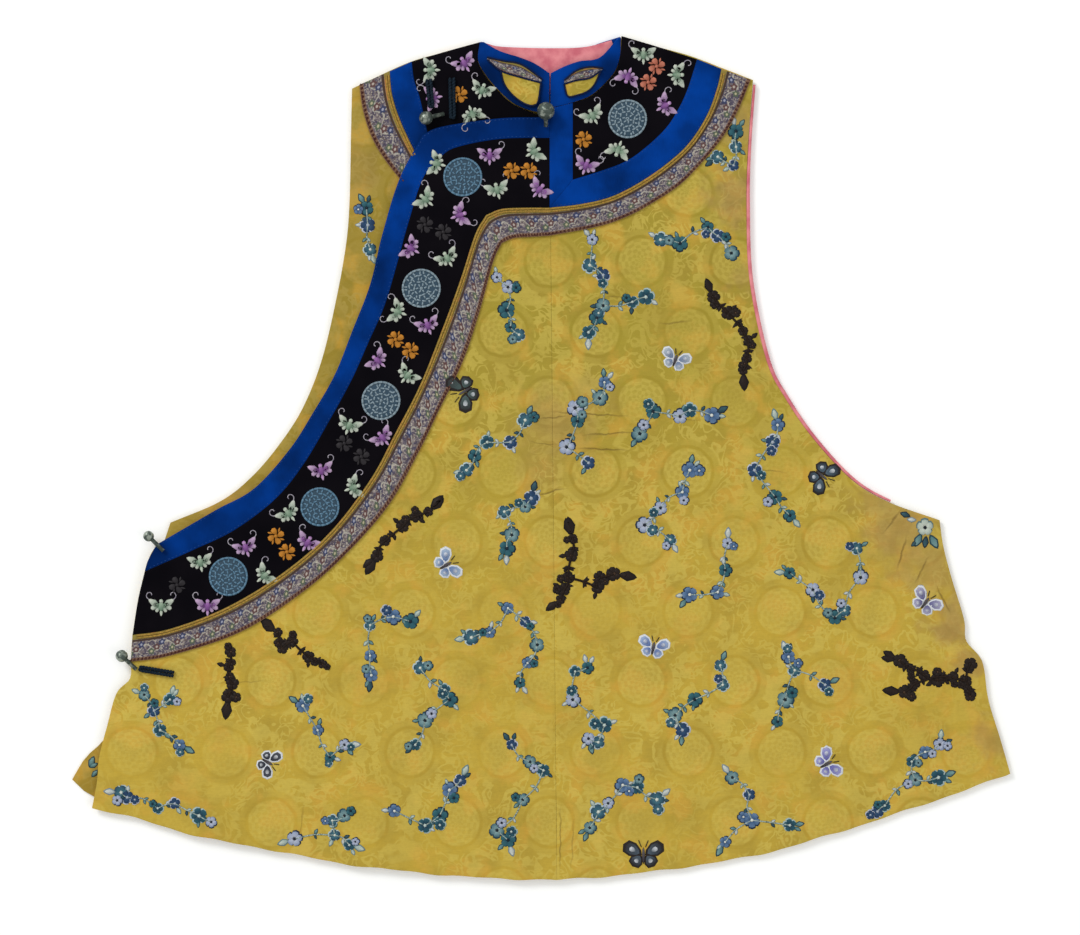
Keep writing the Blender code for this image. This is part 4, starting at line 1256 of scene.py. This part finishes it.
# Plum sprays are embroidered over the damask in satin stitch: five-petalled flowers in teal,
# navy and white silk with outlined petals, on thin grey stems, with small pale leaves.
THREAD_FOOT = 0.25
RIM_RISE = 0.3
THREAD_RISE = 0.5
KNOT_RISE = 0.8
STEM_LIFT = 0.1
PETALS = 5
FLOWER_REACH = 6.4
PLUM_STEM = 0.6
MISSING_LEAVES = 0.25
BUD_SHARE = 0.5

Sewing = namedtuple("Sewing", "shape dye surface")
Tones = namedtuple("Tones", "rim heart petal eye")

SPRAYS = [
    [(-143, 205), (-142, 191), (-140, 171)],
    [(-36, 148), (-27, 140), (-28, 121), (-25, 107), (-18, 101)],
    [(42, 179), (40, 158), (51, 150), (51, 125), (46, 115), (39, 103), (75, 128), (86, 132)],
    [(98, 179), (114, 176), (137, 189), (145, 182), (156, 168)],
    [(160, 268), (160, 255), (158, 240), (145, 247)],
    [(52, 62), (48, 49), (28, 41), (30, 30), (21, 9), (39, -4)],
    [(92, 38), (81, 20), (114, 34), (122, 39), (140, 35)],
    [(-13, 31), (-25, 13), (-44, 13), (-54, 2), (-61, -10)],
    [(194, 27), (190, 13), (175, -10), (192, -32), (204, -47)],
    [(122, -10), (116, -28), (98, -41), (85, -55), (106, -67)],
    [(-8, -33), (-13, -40), (-30, -44), (-24, -63), (-28, -74)],
    [(153, -70), (151, -92), (145, -110), (122, -112)],
    [(259, -74), (262, -98), (204, -94), (223, -108), (249, -125), (241, -131)],
    [(-27, -123), (-13, -134), (-42, -143), (-57, -147), (-3, -153), (-11, -168), (-17, -184)],
    [(-140, -137), (-121, -130), (-107, -134), (-140, -162), (-139, -178)],
    [(-99, -172), (-79, -190), (-75, -198), (-95, -215), (-103, -235)],
    [(28, -175), (38, -172), (26, -198), (39, -230), (47, -233), (52, -219)],
    [(147, -170), (149, -186), (126, -198), (110, -211), (116, -223)],
    [(203, -163), (208, -174), (233, -186), (200, -198), (194, -216)],
    [(-195, -203), (-183, -223), (-161, -235), (-173, -245)],
    [(-325, -194), (-317, -207), (-304, -198), (-312, -223), (-296, -235)],
    [(-344, -274), (-339, -278), (-314, -287), (-300, -283), (-280, -293), (-270, -298)],
    [(-202, -312), (-171, -297), (-161, -293), (-169, -309), (-157, -317)],
    [(-120, -289), (-95, -301), (-83, -293), (-75, -272), (-66, -264)],
    [(-24, -235), (-9, -249), (2, -256), (-15, -280), (-36, -305), (-27, -313)],
    [(40, -303), (47, -290), (55, -283), (67, -268), (79, -270), (95, -280)],
    [(157, -262), (171, -276), (173, -297), (204, -301), (151, -315)],
    [(327, -235), (315, -241), (304, -249), (307, -264), (326, -262), (282, -285), (276, -290)],
]
PLUM_TONES = [
    Tones(rim=(176, 194, 194), heart=(70, 118, 132), petal=(26, 52, 74), eye=(210, 216, 204)),
    Tones(rim=(30, 48, 72), heart=(50, 82, 122), petal=(104, 132, 164), eye=(214, 218, 210)),
    Tones(rim=(164, 184, 182), heart=(26, 54, 74), petal=(42, 92, 104), eye=(190, 204, 196)),
    Tones(rim=(28, 42, 62), heart=(186, 192, 206), petal=(132, 148, 178), eye=(26, 32, 46)),
    Tones(rim=(32, 62, 78), heart=(140, 170, 170), petal=(42, 88, 102), eye=(24, 34, 44)),
    Tones(rim=(186, 192, 200), heart=(46, 78, 112), petal=(28, 50, 84), eye=(168, 178, 190)),
    Tones(rim=(24, 42, 54), heart=(36, 78, 92), petal=(52, 104, 112), eye=(24, 36, 48)),
]
LEAF_TONES = [
    Tones(rim=(104, 130, 130), heart=(146, 168, 164), petal=(198, 206, 190), eye=None),
    Tones(rim=(38, 68, 76), heart=(66, 108, 112), petal=(128, 162, 158), eye=None),
    Tones(rim=(128, 142, 146), heart=(170, 180, 180), petal=(210, 214, 204), eye=None),
    Tones(rim=(30, 44, 54), heart=(34, 60, 72), petal=(60, 96, 104), eye=None),
]
CORNER_TONES = Tones(rim=(92, 116, 116), heart=(206, 212, 198), petal=(160, 176, 164), eye=(20, 26, 32))


def oval(angle):
    return math.cos(angle), math.sin(angle)


def leaf(angle):
    return math.cos(angle), math.sin(angle) * abs(math.sin(angle))


def drop(angle):
    return math.cos(angle), math.sin(angle) * (1.0 + 0.35 * math.cos(angle))


def bar(angle):
    wide = math.copysign(abs(math.cos(angle)) ** 0.3, math.cos(angle))
    return wide, math.copysign(abs(math.sin(angle)) ** 0.3, math.sin(angle))


def start_sewing(surface):
    shape = bmesh.new()
    return Sewing(shape, shape.verts.layers.float_color.new("thread"), surface)


def stitch(sewing, x, y, turn, length, width, form, root, tip, rise=THREAD_RISE, sides=8):
    """A patch of satin stitch round a place in mm, its thread shaded from root to tip."""
    made = bmesh.ops.create_cone(
        sewing.shape, cap_ends=True, cap_tris=False, segments=sides, radius1=1.0, radius2=0.8, depth=2.0
    )
    turn = math.radians(turn)
    dyes = list(zip(colour_of(*root)[:3], colour_of(*tip)[:3]))
    for vert in made["verts"]:
        ring = math.hypot(vert.co.x, vert.co.y)
        along, across = form(math.atan2(vert.co.y, vert.co.x))
        share = (along * ring + 1.0) / 2.0
        # Painted shade: the foot of each patch takes 0.7 of its colour, so its sides read darker than
        # its top.
        depth = 1.0 if vert.co.z > 0 else 0.7
        parts = [(start * (1.0 - share) + end * share) * depth for start, end in dyes]
        vert[sewing.dye] = (*parts, 1.0)
        along *= ring * length / 2
        across *= ring * width / 2
        right = x + along * math.cos(turn) - across * math.sin(turn)
        up = y + along * math.sin(turn) + across * math.cos(turn)
        lift = rise if vert.co.z > 0 else -THREAD_FOOT
        vert.co = Vector((right, up, sewing.surface(right, up) + lift)) * MM


def finish_sewing(name, sewing, material, slot):
    bmesh.ops.recalc_face_normals(sewing.shape, faces=sewing.shape.faces)
    return wear(set_down(name, sewing.shape), material, slot)


def step_out(x, y, turn, reach):
    """The place some way off from another, in a direction in degrees."""
    away = math.radians(turn)
    return x + reach * math.cos(away), y + reach * math.sin(away)


def blossom(sewing, x, y, turn, reach, tones, lift=0.0):
    """A five-petalled flower, its petals edged on one side, with a knot at its heart."""
    for number in range(PETALS):
        angle = turn + 360.0 / PETALS * number
        for out, size, slip, root, tip, rise in (
            (0.52, 1.0, 0.09, tones.rim, tones.rim, RIM_RISE),
            (0.5, 0.86, 0.0, tones.heart, tones.petal, THREAD_RISE),
        ):
            right, up = step_out(*step_out(x, y, angle, out * reach), turn * 5.0, slip * reach)
            size *= reach
            stitch(sewing, right, up, angle, size, size, drop, root, tip, rise=rise + lift)
    knot = 0.42 * reach
    stitch(sewing, x, y, turn, knot, knot, oval, tones.eye, tones.eye, rise=KNOT_RISE + lift)


def leaflet(sewing, x, y, turn, length, tones):
    """A pointed leaf that starts at a place, outlined."""
    x, y = step_out(x, y, turn, 0.5 * length)
    stitch(sewing, x, y, turn, 1.16 * length, 0.66 * length, leaf, tones.rim, tones.rim, rise=RIM_RISE)
    stitch(sewing, x, y, turn, 0.9 * length, 0.46 * length, leaf, tones.heart, tones.petal)


def branches(places):
    """Links each flower of a spray to the nearest one that is linked already."""
    linked = [Vector(places[0])]
    waiting = [Vector(place) for place in places[1:]]
    links = []
    while waiting:
        pairs = [(start, end) for start in linked for end in waiting]
        start, end = min(pairs, key=lambda pair: (pair[0] - pair[1]).length)
        links.append((start, end))
        linked.append(end)
        waiting.remove(end)
    return links


def dye_thread(name, roughness):
    """Silk floss in the colours that the stitches carry, with the lie of its threads."""
    floss, shader, place = start_material(name, specular=0.15)
    thread = place.node("ShaderNodeAttribute", {"attribute_name": "thread"}, out="Color")
    lines = place.cloud(0.6, detail=1.0)
    colour = (lines.rise(0.4, 0.7) * 0.25).blend(thread, colour_of(30, 30, 34))
    finish_material(shader, colour, lines * 0.2 + roughness, lines * 0.12)
    return floss


floss = dye_thread("silk_floss", 0.45)
stem_floss = dye_plain("stem_floss", colour_of(74, 98, 98), colour_of(176, 188, 176), 0.5)
silk_surface = surface_of(under, overlap, plain)


on_silk = covered_by(under, overlap, plain)


def sew_sprays(name, sprays, tones, leaf_tones, reach, tips, bars):
    """The flowers, leaves and cross bars of sprays, and the lines of their stems."""
    chance = random.Random(11)
    sewing = start_sewing(silk_surface)
    stems = []
    for spray in sprays:
        centre = sum((Vector(place) for place in spray), Vector((0.0, 0.0))) / len(spray)
        links = branches(spray)
        for start, end in links:
            way = end - start
            course = math.degrees(math.atan2(way.y, way.x))
            middle = (start + end) / 2 + Vector((-way.y, way.x)) * chance.uniform(-0.14, 0.14)
            line = line_through([start, middle, end], 12)
            stems.append(lying(line, silk_surface, STEM_LIFT))
            for share, length in bars:
                place = line[round(share * (len(line) - 1))]
                tone = chance.choice(tones)
                stitch(
                    sewing, place.x, place.y, course + 90 + chance.uniform(-16, 16),
                    length * chance.uniform(0.85, 1.15), 4.0, leaf, tone.rim, tone.heart, rise=RIM_RISE,
                )
            if way.length > 1.9 * reach:
                for side in (-1, 1):
                    leaflet(
                        sewing, middle.x, middle.y, course + side * chance.uniform(30, 70),
                        chance.uniform(4.0, 6.0), chance.choice(leaf_tones),
                    )
        for x, y in spray:
            size = reach * chance.uniform(0.8, 1.2)
            joins = sum(1 for link in links for point in link if (point - Vector((x, y))).length < 0.1)
            outward = Vector((x, y)) - centre
            course = math.degrees(math.atan2(outward.y, outward.x))
            for turn, length in tips if joins == 1 else [(chance.choice((-70, 70)), 6.0)]:
                if chance.random() < MISSING_LEAVES:
                    continue
                angle = course + turn + chance.uniform(-14, 14)
                if on_silk(*step_out(x, y, angle, 0.62 * size + 1.4 * length)):
                    leaflet(
                        sewing, *step_out(x, y, angle, 0.62 * size), angle,
                        length * chance.uniform(0.85, 1.2), chance.choice(leaf_tones),
                    )
            blossom(sewing, x, y, chance.uniform(0, 72), size, chance.choice(tones))
            right, up = step_out(x, y, chance.uniform(0, 360), 1.05 * size)
            if chance.random() < BUD_SHARE and on_silk(right + 5.0, up) and on_silk(right - 5.0, up):
                blossom(
                    sewing, right, up, chance.uniform(0, 72), 0.72 * size, chance.choice(tones),
                    lift=chance.uniform(0.15, 0.35),
                )
    finish_sewing(name, sewing, floss, "damask")
    return stems


stems = sew_sprays(
    "plum_sprays", SPRAYS, PLUM_TONES, LEAF_TONES, FLOWER_REACH, tips=[(-22, 6.6), (20, 9.0)], bars=[]
)
sew_cord("plum_stems", stems, PLUM_STEM, stem_floss, "damask")

sewing = start_sewing(surface_of(back))
for x, y, turn, length in ((-371, -254, 66, 10.0), (-371, -254, 24, 8.0), (-369, -262, 48, 8.0)):
    leaflet(sewing, x, y, turn, length, LEAF_TONES[1])
finish_sewing("back_leaves", sewing, floss, "damask")

sewing = start_sewing(silk_surface)
for x, y, turn, length, tone in (
    (303, -48, 160, 9.0, 3), (308, -51, 175, 8.0, 2), (312, -62, 244, 12.0, 1),
    (316, -64, 262, 10.0, 3), (319, -63, 300, 13.0, 1), (309, -68, 220, 7.0, 3),
):
    leaflet(sewing, x, y, turn, length, LEAF_TONES[tone])
blossom(sewing, 315, -57, 20, 7.6, CORNER_TONES)
finish_sewing("corner_flower", sewing, floss, "damask")

# A few sprays are all in brown-black silk, in the same stitch. They are heavier and closer, with
# cross bars on their stems and pointed tips.
DARK_REACH = 5.3
DARK_STEM = 1.0
DARK_SPRAYS = [
    [(141, 132), (153, 119), (166, 104), (170, 96), (169, 82), (166, 72)],
    [(-92, -44), (-103, -48), (-113, -56), (-128, -68), (-134, -80)],
    [(26, -66), (25, -80), (22, -98), (19, -108), (16, -116), (46, -106), (48, -98), (60, -95)],
    [(-254, -159), (-256, -171), (-253, -185), (-256, -195)],
    [(-216, -143), (-212, -156), (-204, -150), (-190, -163), (-179, -169)],
    [(294, -166), (303, -173), (314, -178), (325, -182), (338, -180), (349, -183), (352, -169)],
    [(298, -192), (306, -185), (349, -183), (352, -195)],
]
DARK_TONES = [
    Tones(rim=(26, 19, 16), heart=(44, 32, 25), petal=(28, 21, 18), eye=(78, 58, 42)),
    Tones(rim=(24, 18, 16), heart=(40, 28, 22), petal=(30, 22, 18), eye=(36, 27, 22)),
]

dark_floss = dye_plain("dark_floss", colour_of(22, 16, 14), colour_of(44, 32, 24), 0.5)
dark_stems = sew_sprays(
    "dark_sprays", DARK_SPRAYS, DARK_TONES, DARK_TONES, DARK_REACH,
    tips=[(0, 13.0), (0, 13.0)], bars=[(0.2, 9.0), (0.55, 11.5)],
)
sew_cord("dark_stems", dark_stems, DARK_STEM, dark_floss, "damask")

# Butterflies are sewn between the sprays in satin stitch. Six have white rims to their wings,
# and the three largest are near black with pale flecks.
BODY_RISE = 1.0
Butterfly = namedtuple("Butterfly", "x y turn size rim wing vein")
WHITE = (218, 222, 226)
SABLE = (40, 33, 31)
BUTTERFLIES = [
    Butterfly(x=110, y=80, turn=-20, size=1.05, rim=WHITE, wing=(180, 190, 196), vein=(88, 110, 150)),
    Butterfly(x=-78, y=-88, turn=-60, size=1.15, rim=WHITE, wing=(168, 186, 206), vein=(74, 104, 156)),
    Butterfly(x=-224, y=-249, turn=-120, size=1.05, rim=WHITE, wing=(76, 80, 90), vein=(42, 46, 58)),
    Butterfly(x=92, y=-156, turn=-12, size=1.1, rim=WHITE, wing=(160, 178, 208), vein=(72, 98, 158)),
    Butterfly(x=234, y=-251, turn=-60, size=1.15, rim=WHITE, wing=(164, 164, 210), vein=(84, 84, 160)),
    Butterfly(x=315, y=-119, turn=-38, size=1.15, rim=WHITE, wing=(174, 172, 196), vein=(78, 76, 130)),
    Butterfly(x=84, y=-326, turn=0, size=1.4, rim=SABLE, wing=(38, 32, 32), vein=(78, 92, 104)),
    Butterfly(x=-62, y=55, turn=120, size=1.35, rim=SABLE, wing=(42, 38, 38), vein=(76, 96, 94)),
    Butterfly(x=230, y=-14, turn=-130, size=1.25, rim=SABLE, wing=(34, 38, 46), vein=(84, 104, 118)),
]

every_surface = surface_of(*laid[1:])


def on_figure(figure, size, side, right, up, turn):
    """A place and a direction on a figure's right side, or the same on its left."""
    lean = math.radians(figure.turn)
    right *= side * size
    up *= size
    x = figure.x + right * math.cos(lean) - up * math.sin(lean)
    y = figure.y + right * math.sin(lean) + up * math.cos(lean)
    return x, y, figure.turn + (turn if side > 0 else 180 - turn)


sewing = start_sewing(every_surface)
for flier in BUTTERFLIES:
    for side in (1, -1):
        for right, up, turn, length, width in ((6.4, 3.6, 30, 14.0, 9.6), (4.0, -2.8, -54, 9.6, 9.0)):
            wing = on_figure(flier, flier.size, side, right, up, turn)
            for share, root, tip, rise in (
                (1.0, flier.rim, flier.rim, RIM_RISE),
                (0.78, flier.vein, flier.wing, THREAD_RISE),
                (0.34, flier.vein, WHITE, KNOT_RISE),
            ):
                share *= flier.size
                stitch(sewing, *wing, length * share, width * share, drop, root, tip, rise=rise)
        feeler = on_figure(flier, flier.size, side, 2.0, 7.0, 68)
        stitch(sewing, *feeler, 5.0 * flier.size, 0.8, bar, SABLE, SABLE)
    body = (flier.x, flier.y, 90 + flier.turn)
    stitch(sewing, *body, 10.5 * flier.size, 2.6, oval, SABLE, (96, 92, 98), rise=BODY_RISE)
finish_sewing("butterflies", sewing, floss, "damask")

# The black satin is embroidered too, in lilac and pale green bats with curling tendrils,
# round grey-blue fret medallions and small four-lobed rosettes.
MEDALLION_REACH = 16.4
BAT_SIZE = 0.86
TENDRIL_RADIUS = 0.35
Bat = namedtuple("Bat", "x y turn")
LILAC_BATS = [
    Bat(-42, 248, 0), Bat(-1, 220, -40), Bat(-66, 199, -70), Bat(-107, 172, 60), Bat(-93, 109, 20),
    Bat(-134, 80, 50), Bat(-130, 17, 40), Bat(-180, -10, 12), Bat(-242, -73, 20), Bat(-191, -69, -30),
    Bat(-273, -121, 0), Bat(71, 312, 160), Bat(102, 289, -60), Bat(37, 240, -20), Bat(-63, 324, 30),
    Bat(-89, 295, 100),
]
PALE_BATS = [
    Bat(-86, 241, 76), Bat(-95, 212, 50), Bat(-5, 251, -60), Bat(-36, 220, 15), Bat(-77, 164, 30),
    Bat(-118, 120, 70), Bat(-109, 68, -40), Bat(-157, 27, -20), Bat(-153, -24, -70), Bat(-207, -45, 40),
    Bat(-279, -85, 10), Bat(-226, -96, -50), Bat(-311, -121, 0), Bat(42, 281, 30), Bat(63, 252, 160),
    Bat(112, 314, -90), Bat(84, 331, 0), Bat(-91, 318, 90), Bat(-48, 302, -20), Bat(-56, 281, 200),
]
FRET_RINGS = (
    (0.92, 24, 4.6, 1.9, 90), (0.78, 20, 3.0, 1.5, 0), (0.63, 17, 4.0, 1.5, 90),
    (0.5, 14, 2.8, 1.4, 0), (0.36, 10, 3.6, 1.5, 90), (0.2, 6, 2.8, 1.4, 0),
    (0.06, 3, 2.4, 1.4, 90),
)
Medallion = namedtuple("Medallion", "x y tone")
SKY = ((150, 168, 176), (104, 124, 136))
SLATE = ((108, 142, 164), (70, 108, 134))
MEDALLION_GROUND = (54, 76, 92)
MEDALLIONS = [
    Medallion(-64, 230, SLATE), Medallion(-98, 139, SKY), Medallion(-131, 47, SKY),
    Medallion(-181, -40, SLATE), Medallion(-256, -97, SLATE), Medallion(71, 278, SKY),
]
GOLD = ((206, 136, 46), (150, 96, 22))
CORAL = ((206, 128, 104), (146, 74, 54))
SOOT = ((48, 45, 48), (34, 31, 34))
Rosette = namedtuple("Rosette", "x y tone")
ROSETTES = [
    Rosette(-24, 235, GOLD), Rosette(-10, 235, GOLD), Rosette(-119, 97, GOLD), Rosette(-107, 88, GOLD),
    Rosette(-217, -64, GOLD), Rosette(-208, -77, GOLD), Rosette(35, 261, GOLD), Rosette(95, 321, CORAL),
    Rosette(88, 308, CORAL), Rosette(-67, 298, GOLD), Rosette(-95, 191, SOOT), Rosette(-80, 185, SOOT),
    Rosette(-161, 12, SOOT), Rosette(-147, 1, SOOT), Rosette(-298, -104, SOOT),
]

sewing = start_sewing(every_surface)
on_satin = covered_by(overlap_satin, yoke_satin, shoulder_satin)
tendrils = []


def sew_bat(bat, body, wing, tip):
    """A bat: four strokes for each wing, a tail, a body, a head, and a curl over each wing."""
    for right, up, turn, length, width, form, end in (
        (3.4, -3.6, -58, 6.4, 3.6, drop, tip),
        (6.4, -1.4, -24, 8.4, 4.6, drop, tip),
        (7.0, 2.8, 33, 13.6, 7.0, leaf, tip),
        (4.4, 0.6, 14, 8.0, 5.6, drop, wing),
    ):
        for side in (1, -1):
            place = on_figure(bat, BAT_SIZE, side, right, up, turn)
            stitch(sewing, *place, BAT_SIZE * length, BAT_SIZE * width, form, body, end)
    for up, turn, length, width, form, root, end, rise in (
        (-6.6, -90, 6.6, 2.8, leaf, wing, tip, THREAD_RISE),
        (-0.6, 90, 9.0, 4.6, oval, body, wing, KNOT_RISE),
        (4.4, 90, 3.6, 3.6, oval, tip, wing, KNOT_RISE),
    ):
        place = on_figure(bat, BAT_SIZE, 1, 0.0, up, turn)
        stitch(sewing, *place, length, width, form, root, end, rise=rise)
    for side in (1, -1):
        curl = []
        for number in range(11):
            reach = 4.4 - 0.3 * number
            right, up = step_out(10.6, 10.2, 28.0 * number - 90.0, reach)
            x, y, _ = on_figure(bat, BAT_SIZE, side, right, up, 0)
            curl.append(Vector((x, y)))
        if all(on_satin(point.x, point.y) for point in curl):
            tendrils.append(lying(curl, every_surface, STEM_LIFT))


for bat in LILAC_BATS:
    sew_bat(bat, (96, 52, 114), (158, 106, 170), (204, 176, 206))
for bat in PALE_BATS:
    sew_bat(bat, (88, 122, 98), (160, 178, 156), (210, 214, 200))
finish_sewing("bats", sewing, floss, "black_satin")
pale_floss = dye_plain("pale_floss", colour_of(120, 112, 130), colour_of(184, 180, 186), 0.5)
sew_cord("bat_tendrils", tendrils, TENDRIL_RADIUS, pale_floss, "black_satin")

chance = random.Random(5)
sewing = start_sewing(every_surface)
for number, medallion in enumerate(MEDALLIONS):
    pale, deep = medallion.tone
    across = 2 * MEDALLION_REACH
    stitch(
        sewing, medallion.x, medallion.y, 0, across, across, oval, MEDALLION_GROUND, MEDALLION_GROUND,
        rise=0.25, sides=32,
    )
    for share, count, length, width, tilt in FRET_RINGS:
        uneven_by = 0.0 if share > 0.9 else 1.0
        for step in range(count):
            turn = 360 / count * step + 9 * number + 6 * uneven_by * chance.uniform(-1, 1)
            reach = MEDALLION_REACH * share + 0.5 * uneven_by * chance.uniform(-1, 1)
            stitch(
                sewing, *step_out(medallion.x, medallion.y, turn, reach),
                turn + tilt + 24 * uneven_by * chance.uniform(-1, 1),
                length, width, bar, pale, deep, rise=0.6,
            )
finish_sewing("medallions", sewing, floss, "black_satin")

sewing = start_sewing(every_surface)
for rosette in ROSETTES:
    bright, deep = rosette.tone
    for quarter in range(0, 360, 90):
        for out, tilt, length, width, form in ((4.0, 20, 6.8, 5.2, drop), (5.4, 62, 5.0, 2.0, leaf)):
            turn = quarter + tilt
            place = step_out(rosette.x, rosette.y, turn, out)
            stitch(sewing, *place, turn + 16, length, width, form, deep, bright)
    stitch(sewing, rosette.x, rosette.y, 0, 3.4, 3.4, oval, bright, deep, rise=KNOT_RISE)
finish_sewing("rosettes", sewing, floss, "black_satin")

# A double gold cord edges the ribbon where it meets the satin, and small brown knots run
# down its outer edge. Both are couched on by hand.
EDGING_RADIUS = 0.75
EDGING_LIFT = 0.2
KNOT_STEP = 3.0

gold_cord = dye_plain("gold_cord", colour_of(126, 106, 44), colour_of(178, 140, 66), 0.45)


def sew_row(sewing, line, step, length, width, root, tip, rise=THREAD_RISE, cut=0):
    """Small stitches at equal steps along a line, whose ends may be cut off."""
    count = round(walked(line)[-1] / step)
    places = line_through(line[cut : len(line) - cut], count)
    for here, there in zip(places, places[1:]):
        course = math.degrees(math.atan2(there.y - here.y, there.x - here.x))
        stitch(sewing, here.x, here.y, course, length, width, oval, root, tip, rise=rise, sides=6)


edging = [
    lying(beside(line, -inwards)[1:-1], every_surface, EDGING_LIFT)
    for line in (ribbon_inner, shoulder_outer)
    for inwards in (1.1, 3.0)
]
sew_cord("ribbon_edging", edging, EDGING_RADIUS, gold_cord, "ribbon")
sewing = start_sewing(every_surface)
for line in (ribbon_outer, shoulder_ribbon):
    sew_row(sewing, beside(line, 1.2), KNOT_STEP, 2.0, 1.5, (70, 38, 34), (96, 60, 44))
finish_sewing("ribbon_knots", sewing, floss, "ribbon")

# Four small gilt balls fasten it, dulled to grey-green. Each has a shank that is sewn down,
# and its loop is a doubled cord of dark blue silk.
BALL_SIDES = 28
BALL_ARC = 18
GROOVE_DEPTH = 0.05
GROOVE_WIDTH = 0.09
STEM_RADIUS = 1.7
CORD_RADIUS = 1.5
CORD_SPREAD = 1.45
STRAND_RADIUS = 0.9
STRAND_SWING = 0.675
STRAND_PITCH = 5.0
Button = namedtuple("Button", "x y radius stem_x stem_y on_cloth")
Loop = namedtuple("Loop", "foot_x foot_y head_x head_y")
BUTTONS = {
    "neck": Button(x=4, y=283, radius=7.2, stem_x=4, stem_y=270, on_cloth=True),
    "shoulder": Button(x=-94, y=278, radius=5.6, stem_x=-79, stem_y=282, on_cloth=True),
    "underarm": Button(x=-321, y=-64, radius=4.4, stem_x=-309, stem_y=-76, on_cloth=False),
    "side": Button(x=-343, y=-162, radius=5.0, stem_x=-331, stem_y=-173, on_cloth=False),
}
LOOPS = {
    "cord_shoulder_loop": Loop(foot_x=-73, foot_y=311, head_x=-72.5, head_y=280),
    "cord_shoulder_tail": Loop(foot_x=-92, foot_y=310, head_x=-90, head_y=289),
    "cord_side": Loop(foot_x=-301, foot_y=-177, head_x=-327, head_y=-172.6),
}


def gild(name):
    """Worn gilt: dull grey-green metal, brighter where it is rubbed."""
    metal, shader, place = start_material(name, specular=0.4)
    chased = place.cloud(1.3, detail=2.0)
    rubbed = place.cloud(4.0, detail=2.0).rise(0.45, 0.65)
    colour = rubbed.blend(colour_of(74, 84, 78), colour_of(150, 158, 146))
    finish_material(shader, colour, 0.5 - rubbed * 0.16, chased * 0.35)
    metal.node_tree.nodes["Principled BSDF"].inputs["Metallic"].default_value = 0.55
    return metal


gilt = gild("dull_gilt")
fastening_surface = surface_of(*laid[1:], collar_left, collar_right)

for name, button in BUTTONS.items():
    ball = Vector((button.x, button.y))
    foot = Vector((button.stem_x, button.stem_y))
    reach = (foot - ball).length
    bite = math.asin(STEM_RADIUS / button.radius)
    profile = [(0.0, 0.0, button.radius)]
    for number in range(1, BALL_ARC + 1):
        angle = (math.pi - bite) * number / BALL_ARC
        groove = 1.0 - GROOVE_DEPTH * math.exp(-(((angle - math.pi / 2) / GROOVE_WIDTH) ** 2))
        out = groove * button.radius
        profile.append((out * math.sin(angle), 0.0, out * math.cos(angle)))
    profile += [(STEM_RADIUS, 0.0, -reach), (0.0, 0.0, -reach)]
    shape = bmesh.new()
    ring = [shape.verts.new(place) for place in profile]
    edges = [shape.edges.new(pair) for pair in zip(ring, ring[1:])]
    bmesh.ops.spin(
        shape, geom=ring + edges, axis=(0, 0, 1), cent=(0, 0, 0), steps=BALL_SIDES,
        angle=2 * math.pi, use_merge=True,
    )
    bmesh.ops.remove_doubles(shape, verts=shape.verts, dist=0.01)
    bmesh.ops.recalc_face_normals(shape, faces=shape.faces)
    stem = straight(ball, foot, 8)[3:]
    foot_rise = max(fastening_surface(point.x, point.y) for point in stem) + SEAT + STEM_RADIUS
    ball_rise = foot_rise
    if button.on_cloth:
        ball_rise = max(foot_rise, fastening_surface(ball.x, ball.y) + SEAT + button.radius)
    centre = Vector((ball.x, ball.y, ball_rise))
    end = Vector((foot.x, foot.y, foot_rise))
    turn = (end - centre).to_track_quat("-Z", "Y").to_matrix()
    for vert in shape.verts:
        vert.co = (turn @ vert.co + centre) * MM
    wear(set_down(f"ball_{name}", shape), gilt, "ball", f"button_{name}")

loop_silk = dye_plain("loop_silk", colour_of(10, 20, 32), colour_of(24, 40, 52), 0.5)
for name, loop in LOOPS.items():
    foot = Vector((loop.foot_x, loop.foot_y))
    head = Vector((loop.head_x, loop.head_y))
    along = (head - foot).normalized()
    side = Vector((-along.y, along.x)) * CORD_SPREAD
    flat = [point + side for point in straight(foot, head, 8)]
    for number in range(1, 8):
        angle = math.pi * number / 8
        flat.append(head + side * math.cos(angle) + along * CORD_SPREAD * math.sin(angle))
    flat += [point - side for point in straight(head, foot, 8)]
    route = line_through(flat, 110)
    heights = [fastening_surface(point.x, point.y) + SEAT + CORD_RADIUS for point in route]
    for _ in range(6):
        nearby = zip([heights[0], *heights[:-1]], heights, [*heights[1:], heights[-1]])
        heights = [max(here, (before + after) / 2) for before, here, after in nearby]
    steps = walked(route)
    strands = []
    for start in (0.0, math.pi):
        strand = []
        for number, (point, height) in enumerate(zip(route, heights)):
            twist = 2 * math.pi * steps[number] / STRAND_PITCH + start
            place = point + leftward(route, number) * STRAND_SWING * math.cos(twist)
            strand.append((place.x, place.y, height + STRAND_SWING * math.sin(twist)))
        strands.append(strand)
    sew_cord(name.replace("cord", "silk_loop"), strands, STRAND_RADIUS, loop_silk, "cord", name)

# Fine running stitches in blue silk hold the satin bands down. They run just inside both
# edges of the bands on the overlap, the yoke and the left shoulder.
STITCH_STEP = 3.4
STITCH_INSET = 1.3

sewing = start_sewing(every_surface)
for first, second in (
    (edge_line, band_line), (band_yoke, inner_yoke), (shoulder_inner, shoulder_outer)
):
    for seam in (beside(first, -STITCH_INSET), beside(second, STITCH_INSET)):
        sew_row(
            sewing, seam, STITCH_STEP, 1.8, 0.6, (20, 60, 128), (34, 78, 148), rise=0.15, cut=2
        )
finish_sewing("band_stitches", sewing, floss, "blue_satin")
